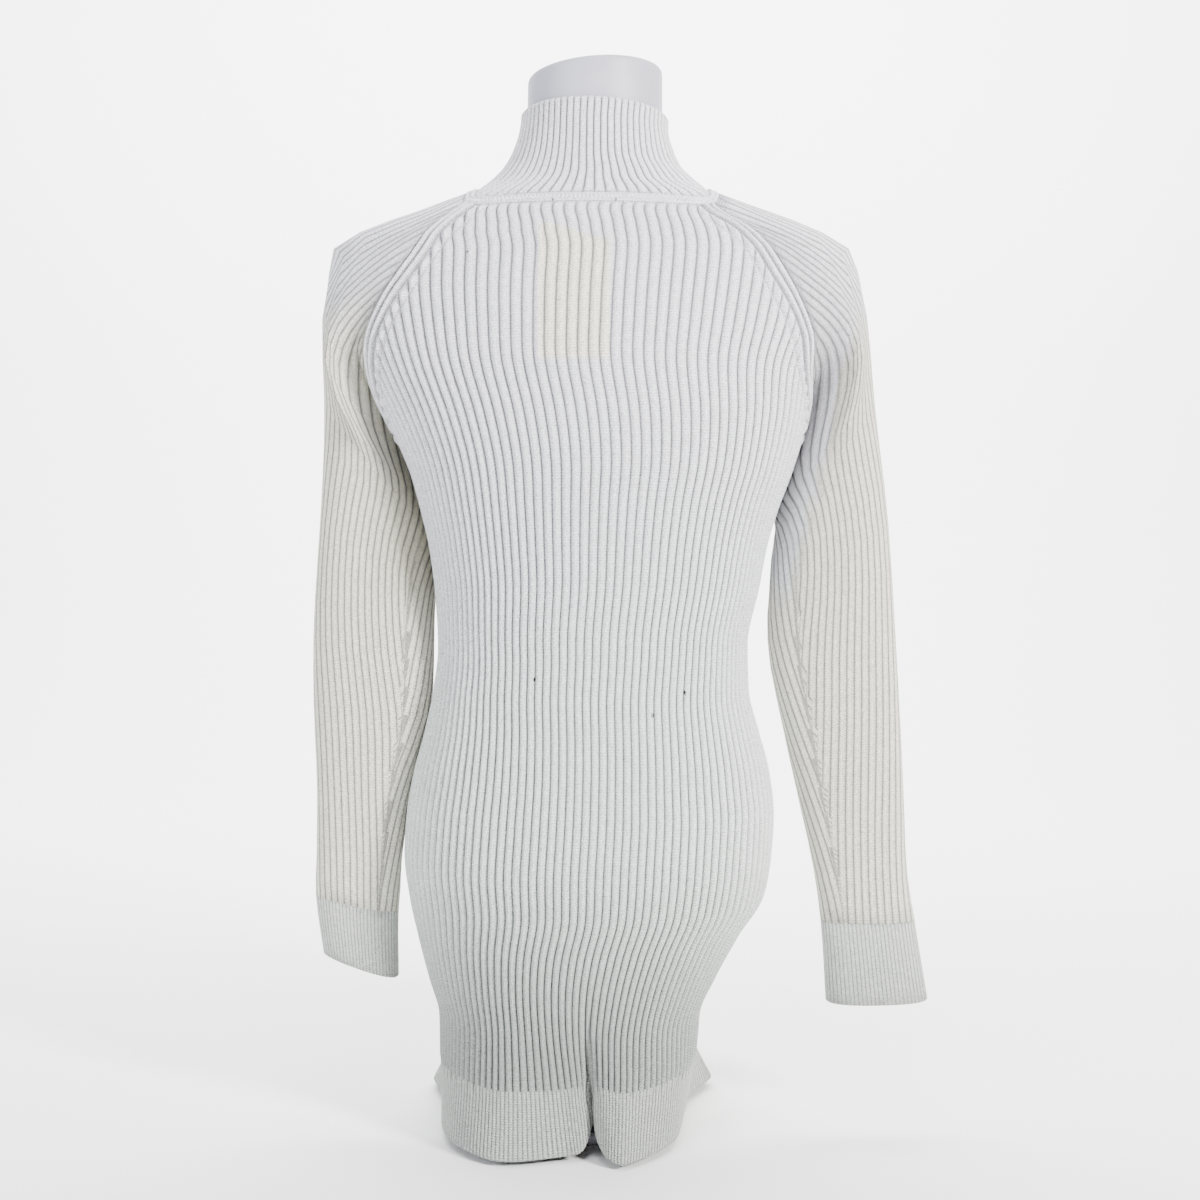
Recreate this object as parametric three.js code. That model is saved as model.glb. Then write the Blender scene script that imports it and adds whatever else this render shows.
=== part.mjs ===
import * as THREE from 'three';

// Rib knit sweater dress standing on a limbless dress form, seen here from the back (-Y), sizes in mm.

const RIBS_ROUND = 100;        // wide ribs round the body, half of them on each panel
const PANEL_RIBS = RIBS_ROUND / 2;
const SLEEVE_RIBS = 40;        // wide ribs round one sleeve
const COLLAR_RIBS = 62;        // ribs round the standing collar
const CUFF_RIBS = 60;          // narrow ribs round one cuff
const HEM_RIBS = 100;          // narrow ribs along one hem band
const CLOTH = 2.3;             // wall between the bottom of a groove and the inside
const RIB_HIGH = 1.4;          // how far a wide rib stands out of its groove
const FINE_HIGH = 0.8;         // the same for the narrow ribs of cuffs and hem
const FORM_INSET = 8.5;         // dress form lies this far inside the groove surface
const NECK_INSET = 3.6;        // the same at the neck, which shows above the collar
const HEM_DEEP = 54;           // narrow rib band at the hem
const HEM_LINE = 62.5;         // highest that the band's top edge goes, also over the fold
const HEM_SEAM = 1.1;         // air between the hem band and its panel, measured in height
const SHIFT_X = 8;             // from the tables' centre to the middle of the foot
const SHIFT_Y = -14;
const FOOT = { rx: 73, ry: 56, high: 10, post: 17 };
const FORM_UNDER = 136;        // underside of the torso, hidden in the skirt
const NECK_TOP = 896;

// Outline of the dress by height: side edges, back, widest line and front in plan, rib pitch at the middle
const BODY = [
  { z: 5, left: -135, right: 97, back: -92, mid: 10, front: 124, pitch: 5.6 },
  { z: 67, left: -132, right: 95, back: -93, mid: 8, front: 120, pitch: 5.3 },
  { z: 100, left: -131, right: 93, back: -96, mid: 6, front: 117, pitch: 5.2 },
  { z: 134, left: -139, right: 104, back: -101, mid: 4, front: 115, pitch: 5.5 },
  { z: 168, left: -147, right: 121, back: -109, mid: 2, front: 113, pitch: 5.9 },
  { z: 202, left: -154, right: 142, back: -117, mid: 0, front: 112, pitch: 6.2 },
  { z: 236, left: -158, right: 148, back: -122, mid: 0, front: 111, pitch: 6.4 },
  { z: 270, left: -156, right: 150, back: -119, mid: 0, front: 109, pitch: 6.4 },
  { z: 305, left: -150, right: 146, back: -110, mid: 0, front: 106, pitch: 6.3 },
  { z: 339, left: -141, right: 137, back: -99, mid: 0, front: 102, pitch: 6.3 },
  { z: 373, left: -134, right: 129, back: -89, mid: 0, front: 97, pitch: 6.4 },
  { z: 410, left: -130, right: 128, back: -83, mid: 0, front: 93, pitch: 6.6 },
  { z: 460, left: -133, right: 138, back: -84, mid: 0, front: 94, pitch: 6.9 },
  { z: 496, left: -138, right: 145, back: -88, mid: 0, front: 100, pitch: 7.2 },
  { z: 526, left: -145, right: 154, back: -92, mid: 0, front: 108, pitch: 7.5 },
  { z: 558, left: -154, right: 166, back: -97, mid: 0, front: 118, pitch: 7.9 },
  { z: 598, left: -172, right: 178, back: -101, mid: 0, front: 124, pitch: 8.3 },
  { z: 637, left: -193, right: 186, back: -102, mid: 0, front: 117, pitch: 8.6 },
  { z: 670, left: -210, right: 203, back: -100, mid: 0, front: 105, pitch: 8.8 },
  { z: 705, left: -221, right: 217, back: -95, mid: 0, front: 93, pitch: 9.0 },
  { z: 731, left: -223, right: 222, back: -88, mid: 0, front: 82, pitch: 9.1 },
  { z: 742, left: -221, right: 217, back: -84, mid: 0, front: 78, pitch: 9.2 },
  { z: 750, left: -212, right: 206, back: -81, mid: 0, front: 76, pitch: 9.2 },
  { z: 763, left: -181, right: 170, back: -76, mid: 0, front: 72, pitch: 9.3 },
  { z: 771, left: -157, right: 150, back: -73, mid: 1, front: 71, pitch: 9.4 },
  { z: 780, left: -133, right: 130, back: -70.5, mid: 2, front: 70, pitch: 9.4 },
  { z: 791, left: -103, right: 101, back: -66, mid: 3, front: 69, pitch: 9 },
  { z: 798, left: -92, right: 91, back: -63, mid: 4, front: 68, pitch: 8.5 },
  { z: 814, left: -76, right: 74, back: -58, mid: 5, front: 67, pitch: 8 },
  { z: 831, left: -67, right: 66, back: -54.5, mid: 6, front: 67, pitch: 7.5 },
  { z: 848, left: -62, right: 62, back: -52.5, mid: 7, front: 66, pitch: 7 },
  { z: 861, left: -60.5, right: 62, back: -52, mid: 8, front: 66, pitch: 6.5 },
  { z: 900, left: -60, right: 62, back: -52, mid: 8, front: 66, pitch: 6.5 },
];

// Lower edge of the hem, by rib from the left side over the back and round the front
const HEM = [
  { rib: 0, x: -129, y: 12, z: 8 },
  { rib: 4.8, x: -125, y: -27, z: 8 },
  { rib: 9.5, x: -109, y: -62, z: 7 },
  { rib: 15.6, x: -74, y: -91, z: 5.5 },
  { rib: 22.6, x: -20, y: -83, z: 7 },
  { rib: 24.6, x: -9.5, y: -82, z: 10 },
  { rib: 26, x: -4.5, y: -74, z: 17 },
  { rib: 27, x: -0.5, y: -63, z: 26 },
  { rib: 28, x: 3, y: -76, z: 17 },
  { rib: 29.5, x: 8.5, y: -88, z: 9.5 },
  { rib: 31.3, x: 15.5, y: -96, z: 6.5 },
  { rib: 33.2, x: 25, y: -99, z: 5.5 },
  { rib: 42.1, x: 64, y: -53, z: 7 },
  { rib: 50, x: 76, y: 10, z: 8 },
  { rib: 55.1, x: 84, y: 62, z: 8 },
  { rib: 62.1, x: 107, y: 121, z: 8 },
  { rib: 67.5, x: 62, y: 133, z: 7 },
  { rib: 75.3, x: -20, y: 127, z: 8 },
  { rib: 83.2, x: -100, y: 134, z: 7 },
  { rib: 88.5, x: -146, y: 121, z: 8 },
  { rib: 94, x: -137, y: 70, z: 8 },
  { rib: 100, x: -129, y: 12, z: 8 },
];
const FLARE_START = 165;
const FLARE_POWER = 1.7;

// Seam round the neck: collar edge and the lower edge of the trim, by angle from the back middle
const NECK = [
  { turn: 0, top: 776.5, low: 768.6 },
  { turn: 20, top: 776.3, low: 768.4 },
  { turn: 32, top: 775.8, low: 768.4 },
  { turn: 41, top: 776.6, low: 771 },
  { turn: 51, top: 783, low: 779 },
  { turn: 64, top: 789, low: 785.6 },
  { turn: 78, top: 793.6, low: 789.2 },
  { turn: 90, top: 795, low: 790.5 },
  { turn: 104, top: 793.4, low: 789 },
  { turn: 118, top: 788.2, low: 784.6 },
  { turn: 132, top: 780.5, low: 776.5 },
  { turn: 146, top: 768.8, low: 762.4 },
  { turn: 160, top: 762, low: 754.5 },
  { turn: 180, top: 759, low: 751.5 },
];

// Raglan seam: height against angle from the middle, inner and outer edge of the two-rib band
const RAGLAN_IN = [
  { turn: 34.6, z: 768.8 }, { turn: 33.6, z: 760 }, { turn: 33.6, z: 748 }, { turn: 35.9, z: 732 },
  { turn: 41, z: 711 }, { turn: 48.4, z: 689 }, { turn: 59, z: 662 }, { turn: 69.5, z: 637 },
  { turn: 79.5, z: 612 }, { turn: 90, z: 588 },
];
const RAGLAN_OUT = [
  { turn: 41.5, z: 771.3 }, { turn: 38.9, z: 765 }, { turn: 37.6, z: 756 }, { turn: 38.3, z: 744 },
  { turn: 42.6, z: 724 }, { turn: 52, z: 694 }, { turn: 62.8, z: 668 }, { turn: 72.5, z: 645 },
  { turn: 81.5, z: 625 }, { turn: 90, z: 608 },
];
const FRONT_DROP = { inner: 6.4, outer: 1 };   // front raglan seams start this much lower at the neck

// Shoulder cap of a sleeve: three loops by share of the way round from the top over the back, x outwards
const CAP = [
  { at: 0.09, share: 0, x: 158, y: 0, z: 772 },
  { at: 0.09, share: 0.15, x: 145, y: -54, z: 757 },
  { at: 0.09, share: 0.25, x: 172, y: -57, z: 728 },
  { at: 0.09, share: 0.38, x: 197, y: -38, z: 668 },
  { at: 0.09, share: 0.5, x: 188, y: 0, z: 600 },
  { at: 0.09, share: 0.62, x: 197, y: 38, z: 668 },
  { at: 0.09, share: 0.75, x: 172, y: 54, z: 726 },
  { at: 0.09, share: 0.85, x: 145, y: 51, z: 753 },
  { at: 0.19, share: 0, x: 216, y: 4, z: 748 },
  { at: 0.19, share: 0.15, x: 203, y: -36, z: 738 },
  { at: 0.19, share: 0.25, x: 211, y: -36, z: 706 },
  { at: 0.19, share: 0.38, x: 214, y: -32, z: 650 },
  { at: 0.19, share: 0.5, x: 190, y: -9, z: 580 },
  { at: 0.19, share: 0.62, x: 200, y: 27, z: 638 },
  { at: 0.19, share: 0.75, x: 212, y: 37, z: 698 },
  { at: 0.19, share: 0.85, x: 205, y: 37, z: 735 },
  { at: 0.27, share: 0, x: 227, y: 16, z: 706 },
  { at: 0.27, share: 0.15, x: 227, y: -14, z: 698 },
  { at: 0.27, share: 0.25, x: 224, y: -27, z: 668 },
  { at: 0.27, share: 0.38, x: 213, y: -39, z: 616 },
  { at: 0.27, share: 0.5, x: 181, y: -21, z: 558 },
  { at: 0.27, share: 0.62, x: 180, y: 18, z: 574 },
  { at: 0.27, share: 0.75, x: 205, y: 38, z: 630 },
  { at: 0.27, share: 0.85, x: 221, y: 34, z: 678 },
];

// Rings of each sleeve below the shoulder: outer and inner point, half thickness, roundness, twist
const LEFT_SLEEVE = [
  { at: 0.37, outX: -229, outZ: 622, inX: -147, inZ: 496, y: 15, half: 38, soft: 2.2, twist: 0.12 },
  { at: 0.48, outX: -232, outZ: 532, inX: -140.5, inZ: 458, y: 15, half: 32, soft: 2.3, twist: 0.15 },
  { at: 0.6, outX: -237, outZ: 434, inX: -137.5, inZ: 408, y: 11, half: 28, soft: 2.4, twist: 0.16 },
  { at: 0.71, outX: -237, outZ: 362, inX: -141.5, inZ: 350, y: 6, half: 26, soft: 2.4, twist: 0.16 },
  { at: 0.82, outX: -233.5, outZ: 296, inX: -155.5, inZ: 290, y: 2, half: 24, soft: 2.4, twist: 0.16 },
  { at: 0.91, outX: -233.5, outZ: 240, inX: -163, inZ: 236, y: 1, half: 22, soft: 2.4, twist: 0.16 },
  { at: 1, outX: -234, outZ: 200, inX: -168, inZ: 186, y: 0, half: 20, soft: 2.4, twist: 0.16 },
  { at: 1.14, outX: -227.5, outZ: 151, inX: -168, inZ: 130, y: 0, half: 19, soft: 2.4, twist: 0.16 },
];
const RIGHT_SLEEVE = [
  { at: 0.37, outX: 235.5, outZ: 618, inX: 162.5, inZ: 500, y: 1, half: 38, soft: 2.2, twist: 0.12 },
  { at: 0.48, outX: 247, outZ: 528, inX: 151.5, inZ: 461, y: 2, half: 32, soft: 2.3, twist: 0.15 },
  { at: 0.6, outX: 254, outZ: 424, inX: 150.5, inZ: 406, y: 3, half: 28, soft: 2.4, twist: 0.16 },
  { at: 0.71, outX: 258.5, outZ: 346, inX: 163, inZ: 340, y: 3, half: 26, soft: 2.4, twist: 0.16 },
  { at: 0.82, outX: 261.5, outZ: 276, inX: 176.5, inZ: 278, y: 2, half: 24, soft: 2.4, twist: 0.16 },
  { at: 0.91, outX: 263.5, outZ: 222, inX: 188, inZ: 225, y: 1, half: 22, soft: 2.4, twist: 0.16 },
  { at: 1, outX: 270, outZ: 178, inX: 194.5, inZ: 178, y: 0, half: 20, soft: 2.4, twist: 0.16 },
  { at: 1.14, outX: 281, outZ: 111, inX: 199, inZ: 109, y: 0, half: 20, soft: 2.4, twist: 0.16 },
];
const NECK_SHARE = 0.15;       // share of half a sleeve's ribs that start at the neck
const UNDERARM_LIFT = 4.2;     // sleeve stands off the body at the bottom of the raglan seam
const SLEEVE_CLEAR = 5.5;      // and stays this far off the side of the body lower down

const RAD = Math.PI / 180;

// Smooth curve through the rows of a table, without overshoot
function curve(rows, key, name) {
  const xs = rows.map((row) => row[key]);
  const ys = rows.map((row) => row[name]);
  const n = xs.length;
  const slope = [];
  for (let i = 0; i < n - 1; i += 1) slope.push((ys[i + 1] - ys[i]) / (xs[i + 1] - xs[i]));
  const tan = [slope[0]];
  for (let i = 1; i < n - 1; i += 1) {
    const a = slope[i - 1];
    const b = slope[i];
    tan.push(a * b <= 0 ? 0 : (2 * a * b) / (a + b));
  }
  tan.push(slope[n - 2]);
  return (x) => {
    let i = 0;
    while (i < n - 2 && x > xs[i + 1]) i += 1;
    const h = xs[i + 1] - xs[i];
    const t = Math.min(1, Math.max(0, (x - xs[i]) / h));
    const t2 = t * t;
    const t3 = t2 * t;
    return (2 * t3 - 3 * t2 + 1) * ys[i] + (t3 - 2 * t2 + t) * h * tan[i]
      + (3 * t2 - 2 * t3) * ys[i + 1] + (t3 - t2) * h * tan[i + 1];
  };
}

// Rounder curve through the rows, for rings and folds
function flow(rows, key, name, closed) {
  const xs = rows.map((row) => row[key]);
  const ys = rows.map((row) => row[name]);
  const n = xs.length;
  const period = xs[n - 1] - xs[0];
  const tan = xs.map((x, i) => {
    if (i > 0 && i < n - 1) return (ys[i + 1] - ys[i - 1]) / (xs[i + 1] - xs[i - 1]);
    if (closed) return (ys[1] - ys[n - 2]) / (xs[1] - xs[n - 2] + period);
    return i === 0 ? (ys[1] - ys[0]) / (xs[1] - xs[0]) : (ys[n - 1] - ys[n - 2]) / (xs[n - 1] - xs[n - 2]);
  });
  return (x) => {
    let i = 0;
    while (i < n - 2 && x > xs[i + 1]) i += 1;
    const h = xs[i + 1] - xs[i];
    const t = (x - xs[i]) / h;
    const t2 = t * t;
    const t3 = t2 * t;
    return (2 * t3 - 3 * t2 + 1) * ys[i] + (t3 - 2 * t2 + t) * h * tan[i]
      + (3 * t2 - 2 * t3) * ys[i + 1] + (t3 - t2) * h * tan[i + 1];
  };
}

const side = {};
for (const name of ['left', 'right', 'back', 'mid', 'front', 'pitch']) side[name] = curve(BODY, 'z', name);
const hem = {};
for (const name of ['x', 'y', 'z']) hem[name] = flow(HEM, 'rib', name, true);
const neck = { top: curve(NECK, 'turn', 'top'), low: curve(NECK, 'turn', 'low') };

const smooth = (t) => {
  const s = Math.min(1, Math.max(0, t));
  return s * s * (3 - 2 * s);
};
const mix = (a, b, t) => a + (b - a) * t;

// Point of the body surface at an angle from the back middle (right side at 90) and a height
function onBody(turn, z, out = 0) {
  const a = (side.right(z) - side.left(z)) / 2 + out;
  const middle = (side.right(z) + side.left(z)) / 2;
  const mid = side.mid(z);
  const c = Math.cos(turn * RAD);
  const depth = c > 0 ? mid - side.back(z) : side.front(z) - mid;
  return new THREE.Vector3(middle + a * Math.sin(turn * RAD), mid - (depth + out) * c, z);
}

// Angle at which a rib of the body lies at a height; ribs count from the left side over the back
function ribTurn(rib, z) {
  const a = (side.right(z) - side.left(z)) / 2;
  const even = Math.min(1, (side.pitch(z) * PANEL_RIBS) / (Math.PI * a));
  const back = rib <= PANEL_RIBS;
  const u = back ? (2 * rib) / PANEL_RIBS - 1 : 3 - (2 * rib) / PANEL_RIBS;
  const angle = 90 * (even * u + (1 - even) * u * u * u);
  if (back) return angle;
  return u >= 0 ? 180 - angle : -180 - angle;
}

// Point of the dress at a rib and height, with the flare and fold of the skirt
function onDress(rib, z) {
  const p = onBody(ribTurn(rib, z), z);
  if (z >= FLARE_START) return p;
  const low = hem.z(rib);
  const foot = onBody(ribTurn(rib, low), low);
  const f = Math.pow((FLARE_START - z) / (FLARE_START - low), FLARE_POWER);
  p.x += f * (hem.x(rib) - foot.x);
  p.y += f * (hem.y(rib) - foot.y);
  return p;
}

// Height of the seam between hem band and panel
function bandTop(rib) {
  return Math.min(hem.z(rib) + HEM_DEEP, HEM_LINE);
}

// Normal of a surface given as a function of two numbers
function normalOf(point, u, v, du, dv) {
  const a = point(u + du, v).sub(point(u - du, v));
  const b = point(u, v + dv).sub(point(u, v - dv));
  return a.cross(b).normalize();
}

function ribWave(x) {
  return 0.5 - 0.5 * Math.cos(2 * Math.PI * x);
}

function meshOf(name, points, faces, look) {
  const geometry = new THREE.BufferGeometry();
  const data = new Float32Array(points.length * 3);
  points.forEach((p, i) => data.set([p.x + SHIFT_X, p.y + SHIFT_Y, p.z], i * 3));
  geometry.setAttribute('position', new THREE.BufferAttribute(data, 3));
  geometry.setIndex(faces.flat());
  geometry.computeVertexNormals();
  const mesh = new THREE.Mesh(geometry, new THREE.MeshStandardMaterial(look));
  mesh.name = name;
  return mesh;
}

// Strip of triangles between two rows of points that may have different counts
function strip(faces, low, high, flip) {
  let i = 0;
  let j = 0;
  const n = low.length - 1;
  const m = high.length - 1;
  while (i < n || j < m) {
    const stepLow = j === m || (i < n && (i + 1) / n <= (j + 1) / m + 1e-9);
    const face = stepLow ? [low[i], low[i + 1], high[j]] : [low[i], high[j + 1], high[j]];
    faces.push(flip ? [face[0], face[2], face[1]] : face);
    if (stepLow) i += 1;
    else j += 1;
  }
}

// Closed wall of cloth: ribs on its outer points, a plain inside with fewer columns
function clothWall({ name, look, point, normal, us, rows, every, raise, closed, fineTop, fineLow, thick = CLOTH }) {
  const points = [];
  const outer = [];
  const inner = [];
  const last = rows.length - 1;
  rows.forEach((v, r) => {
    const line = [];
    us.forEach((u, c) => {
      if (closed && c === us.length - 1) {
        line.push(line[0]);
        return;
      }
      const n = normal(u, v);
      points.push(point(u, v).addScaledVector(n, raise(u, v)));
      line.push(points.length - 1);
    });
    outer.push(line);
    const fine = (r === 0 && fineLow) || (r === last && fineTop);
    const back = [];
    us.forEach((u, c) => {
      if (!fine && c % every !== 0 && c !== us.length - 1) return;
      if (closed && c === us.length - 1) {
        back.push(back[0]);
        return;
      }
      points.push(point(u, v).addScaledVector(normal(u, v), -thick));
      back.push(points.length - 1);
    });
    inner.push(back);
  });
  const faces = [];
  for (let r = 0; r < last; r += 1) {
    strip(faces, outer[r], outer[r + 1], false);
    strip(faces, inner[r], inner[r + 1], true);
  }
  strip(faces, outer[0], inner[0], true);
  strip(faces, outer[last], inner[last], false);
  if (!closed) {
    const end = (line) => line[line.length - 1];
    strip(faces, inner.map((line) => line[0]), outer.map((line) => line[0]), true);
    strip(faces, inner.map(end), outer.map(end), false);
  }
  return meshOf(name, points, faces, look);
}

const steps = (count, from = 0, to = 1) => Array.from({ length: count + 1 }, (v, i) => mix(from, to, i / count));

const KNIT = { color: 0xdcdcd6, roughness: 0.92, metalness: 0 };
const KNIT_FINE = { color: 0xd2d5cf, roughness: 0.92, metalness: 0 };
const TRIM = { color: 0xe2dfd6, roughness: 0.9, metalness: 0 };
const FORM = { color: 0xc5c3cd, roughness: 0.55, metalness: 0 };

// Raglan seam line resampled by length; half is 'back' or 'front'
function seamLine(rows, half, sideSign, edge) {
  const cut = rows.map((row, i) => ({ ...row, at: i }));
  const turn = flow(cut, 'at', 'turn');
  const z = flow(cut, 'at', 'z');
  const drop = half === 'front' ? FRONT_DROP[edge] : 0;
  const place = (at) => {
    const low = z(at) - drop * smooth((z(at) - 700) / 68);
    const angle = half === 'front' ? 180 - turn(at) : turn(at);
    return { turn: sideSign * angle, z: low };
  };
  const samples = steps(240, 0, rows.length - 1);
  const lengths = [0];
  samples.slice(1).forEach((at, i) => {
    const a = place(samples[i]);
    const b = place(at);
    lengths.push(lengths[i] + onBody(a.turn, a.z).distanceTo(onBody(b.turn, b.z)));
  });
  const total = lengths[lengths.length - 1];
  return (s) => {
    const want = Math.min(1, Math.max(0, s)) * total;
    let i = 0;
    while (i < lengths.length - 2 && lengths[i + 1] < want) i += 1;
    const f = (want - lengths[i]) / Math.max(1e-6, lengths[i + 1] - lengths[i]);
    return place(mix(samples[i], samples[i + 1], f));
  };
}

const seamIn = {};
const seamOut = {};
for (const half of ['back', 'front']) {
  for (const sign of [-1, 1]) {
    seamIn[half + sign] = seamLine(RAGLAN_IN, half, sign, 'inner');
    seamOut[half + sign] = seamLine(RAGLAN_OUT, half, sign, 'outer');
  }
}

// Height at which a rib of a panel ends, at the neck trim or at the raglan seam
function ribTop(rib) {
  const half = rib <= PANEL_RIBS ? 'back' : 'front';
  const sign = ribTurn(rib, 650) >= 0 ? 1 : -1;
  const line = seamIn[half + sign];
  const seam = steps(160).map(line);
  const fromMiddle = (turn) => (half === 'back' ? Math.abs(turn) : 180 - Math.abs(turn));
  const edgeTurn = (z) => {
    let i = 0;
    while (i < seam.length - 2 && seam[i + 1].z > z) i += 1;
    const f = (seam[i].z - z) / Math.max(1e-6, seam[i].z - seam[i + 1].z);
    return fromMiddle(mix(seam[i].turn, seam[i + 1].turn, Math.min(1, Math.max(0, f))));
  };
  const outside = (z) => {
    const turn = ribTurn(rib, z);
    if (z > seam[0].z - 0.01) return z > neck.low(Math.abs(turn)) || fromMiddle(turn) > edgeTurn(z) - 0.12;
    return z > neck.low(Math.abs(turn)) || (z > 588 && fromMiddle(turn) > edgeTurn(z) - 0.12);
  };
  let low = 587;
  let high = low;
  while (!outside(high) && high < 790) high += 1.5;
  if (high === low) return 588;
  low = high - 1.5;
  for (let k = 0; k < 30; k += 1) {
    const z = (low + high) / 2;
    if (outside(z)) high = z;
    else low = z;
  }
  return low;
}

// Panels of the body
function panel(name, first, rows) {
  const us = steps(PANEL_RIBS * 2, first + 0.02, first + PANEL_RIBS - 0.02);
  const tops = new Map(us.map((rib) => [rib, ribTop(rib)]));
  const point = (rib, t) => {
    const top = tops.get(rib) ?? ribTop(rib);
    return onDress(rib, mix(bandTop(rib) + HEM_SEAM, top, t));
  };
  const normal = (rib, t) => {
    const top = tops.get(rib) ?? ribTop(rib);
    const z = mix(bandTop(rib) + HEM_SEAM, top, t);
    return normalOf(onDress, rib, z, 0.25, 1.5);
  };
  const raise = (rib) => RIB_HIGH * ribWave(rib - first);
  return clothWall({
    name, look: KNIT, point, normal, us, rows, every: 4, raise, closed: false, fineTop: true, fineLow: false,
  });
}

function hemBand(name, first) {
  const us = steps(HEM_RIBS * 2, first + 0.02, first + PANEL_RIBS - 0.02);
  const height = (rib, t) => mix(hem.z(rib), bandTop(rib), t);
  return clothWall({
    name,
    look: KNIT_FINE,
    point: (rib, t) => onDress(rib, height(rib, t)),
    normal: (rib, t) => normalOf(onDress, rib, height(rib, t), 0.25, 1.5),
    us,
    rows: [0, 1],
    every: 4,
    raise: (rib) => FINE_HIGH * ribWave((rib - first) * (HEM_RIBS / PANEL_RIBS)),
    closed: false,
    fineTop: false,
    fineLow: false,
  });
}

// Angle round the neck for a share of the way round, evened out by length along the seam
function roundNeck(edge) {
  const turns = steps(360, -180, 180);
  const at = (turn) => onBody(turn, neck[edge](Math.abs(turn)));
  const lengths = [0];
  turns.slice(1).forEach((turn, i) => lengths.push(lengths[i] + at(turn).distanceTo(at(turns[i]))));
  const total = lengths[lengths.length - 1];
  return (share) => {
    const want = share * total;
    let i = 0;
    while (i < lengths.length - 2 && lengths[i + 1] < want) i += 1;
    return turns[i] + (want - lengths[i]) / (lengths[i + 1] - lengths[i]);
  };
}
const neckShare = { top: roundNeck('top'), low: roundNeck('low') };

const COLLAR_TOP = { left: 862, right: 858 };
function collarPlace(share, t) {
  const s = share - Math.floor(share);
  const foot = neckShare.top(s);
  const turn = mix(foot, 360 * s - 180, smooth(t) * 0.75 + t * 0.25);
  const top = mix(COLLAR_TOP.left, COLLAR_TOP.right, 0.5 + 0.5 * Math.sin(turn * RAD));
  return { turn, z: mix(neck.top(Math.abs(foot)), top, t) };
}

function bodyNormal({ turn, z }) {
  return normalOf(onBody, turn, z, 0.5, 0.8);
}

function collar() {
  const shares = steps(COLLAR_RIBS * 2);
  return clothWall({
    name: 'collar',
    look: KNIT,
    point: (share, t) => {
      const p = collarPlace(share, t);
      return onBody(p.turn, p.z);
    },
    normal: (share, t) => bodyNormal(collarPlace(share, t)),
    us: shares,
    rows: [0, 0.22, 0.55, 1],
    every: 4,
    raise: (share) => RIB_HIGH * ribWave(share * COLLAR_RIBS),
    closed: true,
    fineTop: false,
    fineLow: true,
  });
}

function neckTrim() {
  const place = (share, t) => {
    const s = share - Math.floor(share);
    const turn = neckShare.low(s);
    const low = neck.low(Math.abs(turn));
    const top = neck.top(Math.abs(turn));
    return { turn, z: mix(low, top, t) };
  };
  return clothWall({
    name: 'neck_trim',
    look: TRIM,
    point: (share, t) => {
      const p = place(share, t);
      return onBody(p.turn, p.z);
    },
    normal: (share, t) => bodyNormal(place(share, t)),
    us: steps(88),
    rows: [0.09, 0.9],
    every: 1,
    raise: () => 1.5,
    closed: true,
    fineTop: true,
    fineLow: true,
  });
}

function raglanBand(name, half, sign) {
  const inLine = seamIn[half + sign];
  const outLine = seamOut[half + sign];
  const forward = (half === 'back') === (sign === 1);
  const place = (across, s) => {
    const a = inLine(s);
    const b = outLine(s);
    return { turn: mix(a.turn, b.turn, across), z: mix(a.z, b.z, across) };
  };
  const ends = forward ? [0.9, 0.045] : [0.045, 0.9];
  const bump = (across) => RIB_HIGH * ribWave((2 * (across - 0.045)) / 0.855);
  return clothWall({
    name,
    look: KNIT,
    point: (across, s) => {
      const p = place(across, s);
      return onBody(p.turn, p.z);
    },
    normal: (across, s) => bodyNormal(place(across, s)),
    us: steps(4, ends[1], ends[0]),
    rows: steps(14, 0.998, 0.026),
    every: 2,
    raise: bump,
    closed: false,
    fineTop: true,
    fineLow: true,
  });
}

// Where a sleeve rib starts: at the neck trim, then down the outer edge of the raglan band
function sleeveStart(sign, share) {
  const s = share - Math.floor(share);
  const half = s <= 0.5 ? 'back' : 'front';
  const u = s <= 0.5 ? s : 1 - s;
  const corner = seamOut[half + sign](0);
  let place;
  if (u < NECK_SHARE) {
    const f = u / NECK_SHARE;
    const turn = mix(sign * 90, corner.turn, f);
    place = { turn, z: neck.low(Math.abs(turn)) };
  } else {
    place = seamOut[half + sign]((u - NECK_SHARE) / (0.5 - NECK_SHARE));
  }
  const lift = UNDERARM_LIFT * smooth((u - 0.36) / 0.13);
  return onBody(place.turn, place.z, 0).addScaledVector(bodyNormal(place), lift);
}

// Closed loop of the shoulder cap at one of its three places
function capLoop(at) {
  const rows = CAP.filter((row) => row.at === at);
  const ring = [...rows, { ...rows[0], share: 1 }];
  const get = {};
  for (const name of ['x', 'y', 'z']) get[name] = flow(ring, 'share', name, true);
  return get;
}
const CAP_PLACES = [0.09, 0.19, 0.27];
const capLoops = CAP_PLACES.map(capLoop);

function sleeveRing(row, share) {
  const angle = 2 * Math.PI * (share - row.twist);
  const c = Math.cos(angle);
  const s = Math.sin(angle);
  const along = Math.sign(c) * Math.pow(Math.abs(c), 2 / row.soft);
  const across = Math.sign(s) * Math.pow(Math.abs(s), 2 / row.soft);
  const x = mix(row.inX, row.outX, 0.5 + 0.5 * along);
  const z = mix(row.inZ, row.outZ, 0.5 + 0.5 * along);
  return new THREE.Vector3(x, row.y - row.half * across, z);
}

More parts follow.
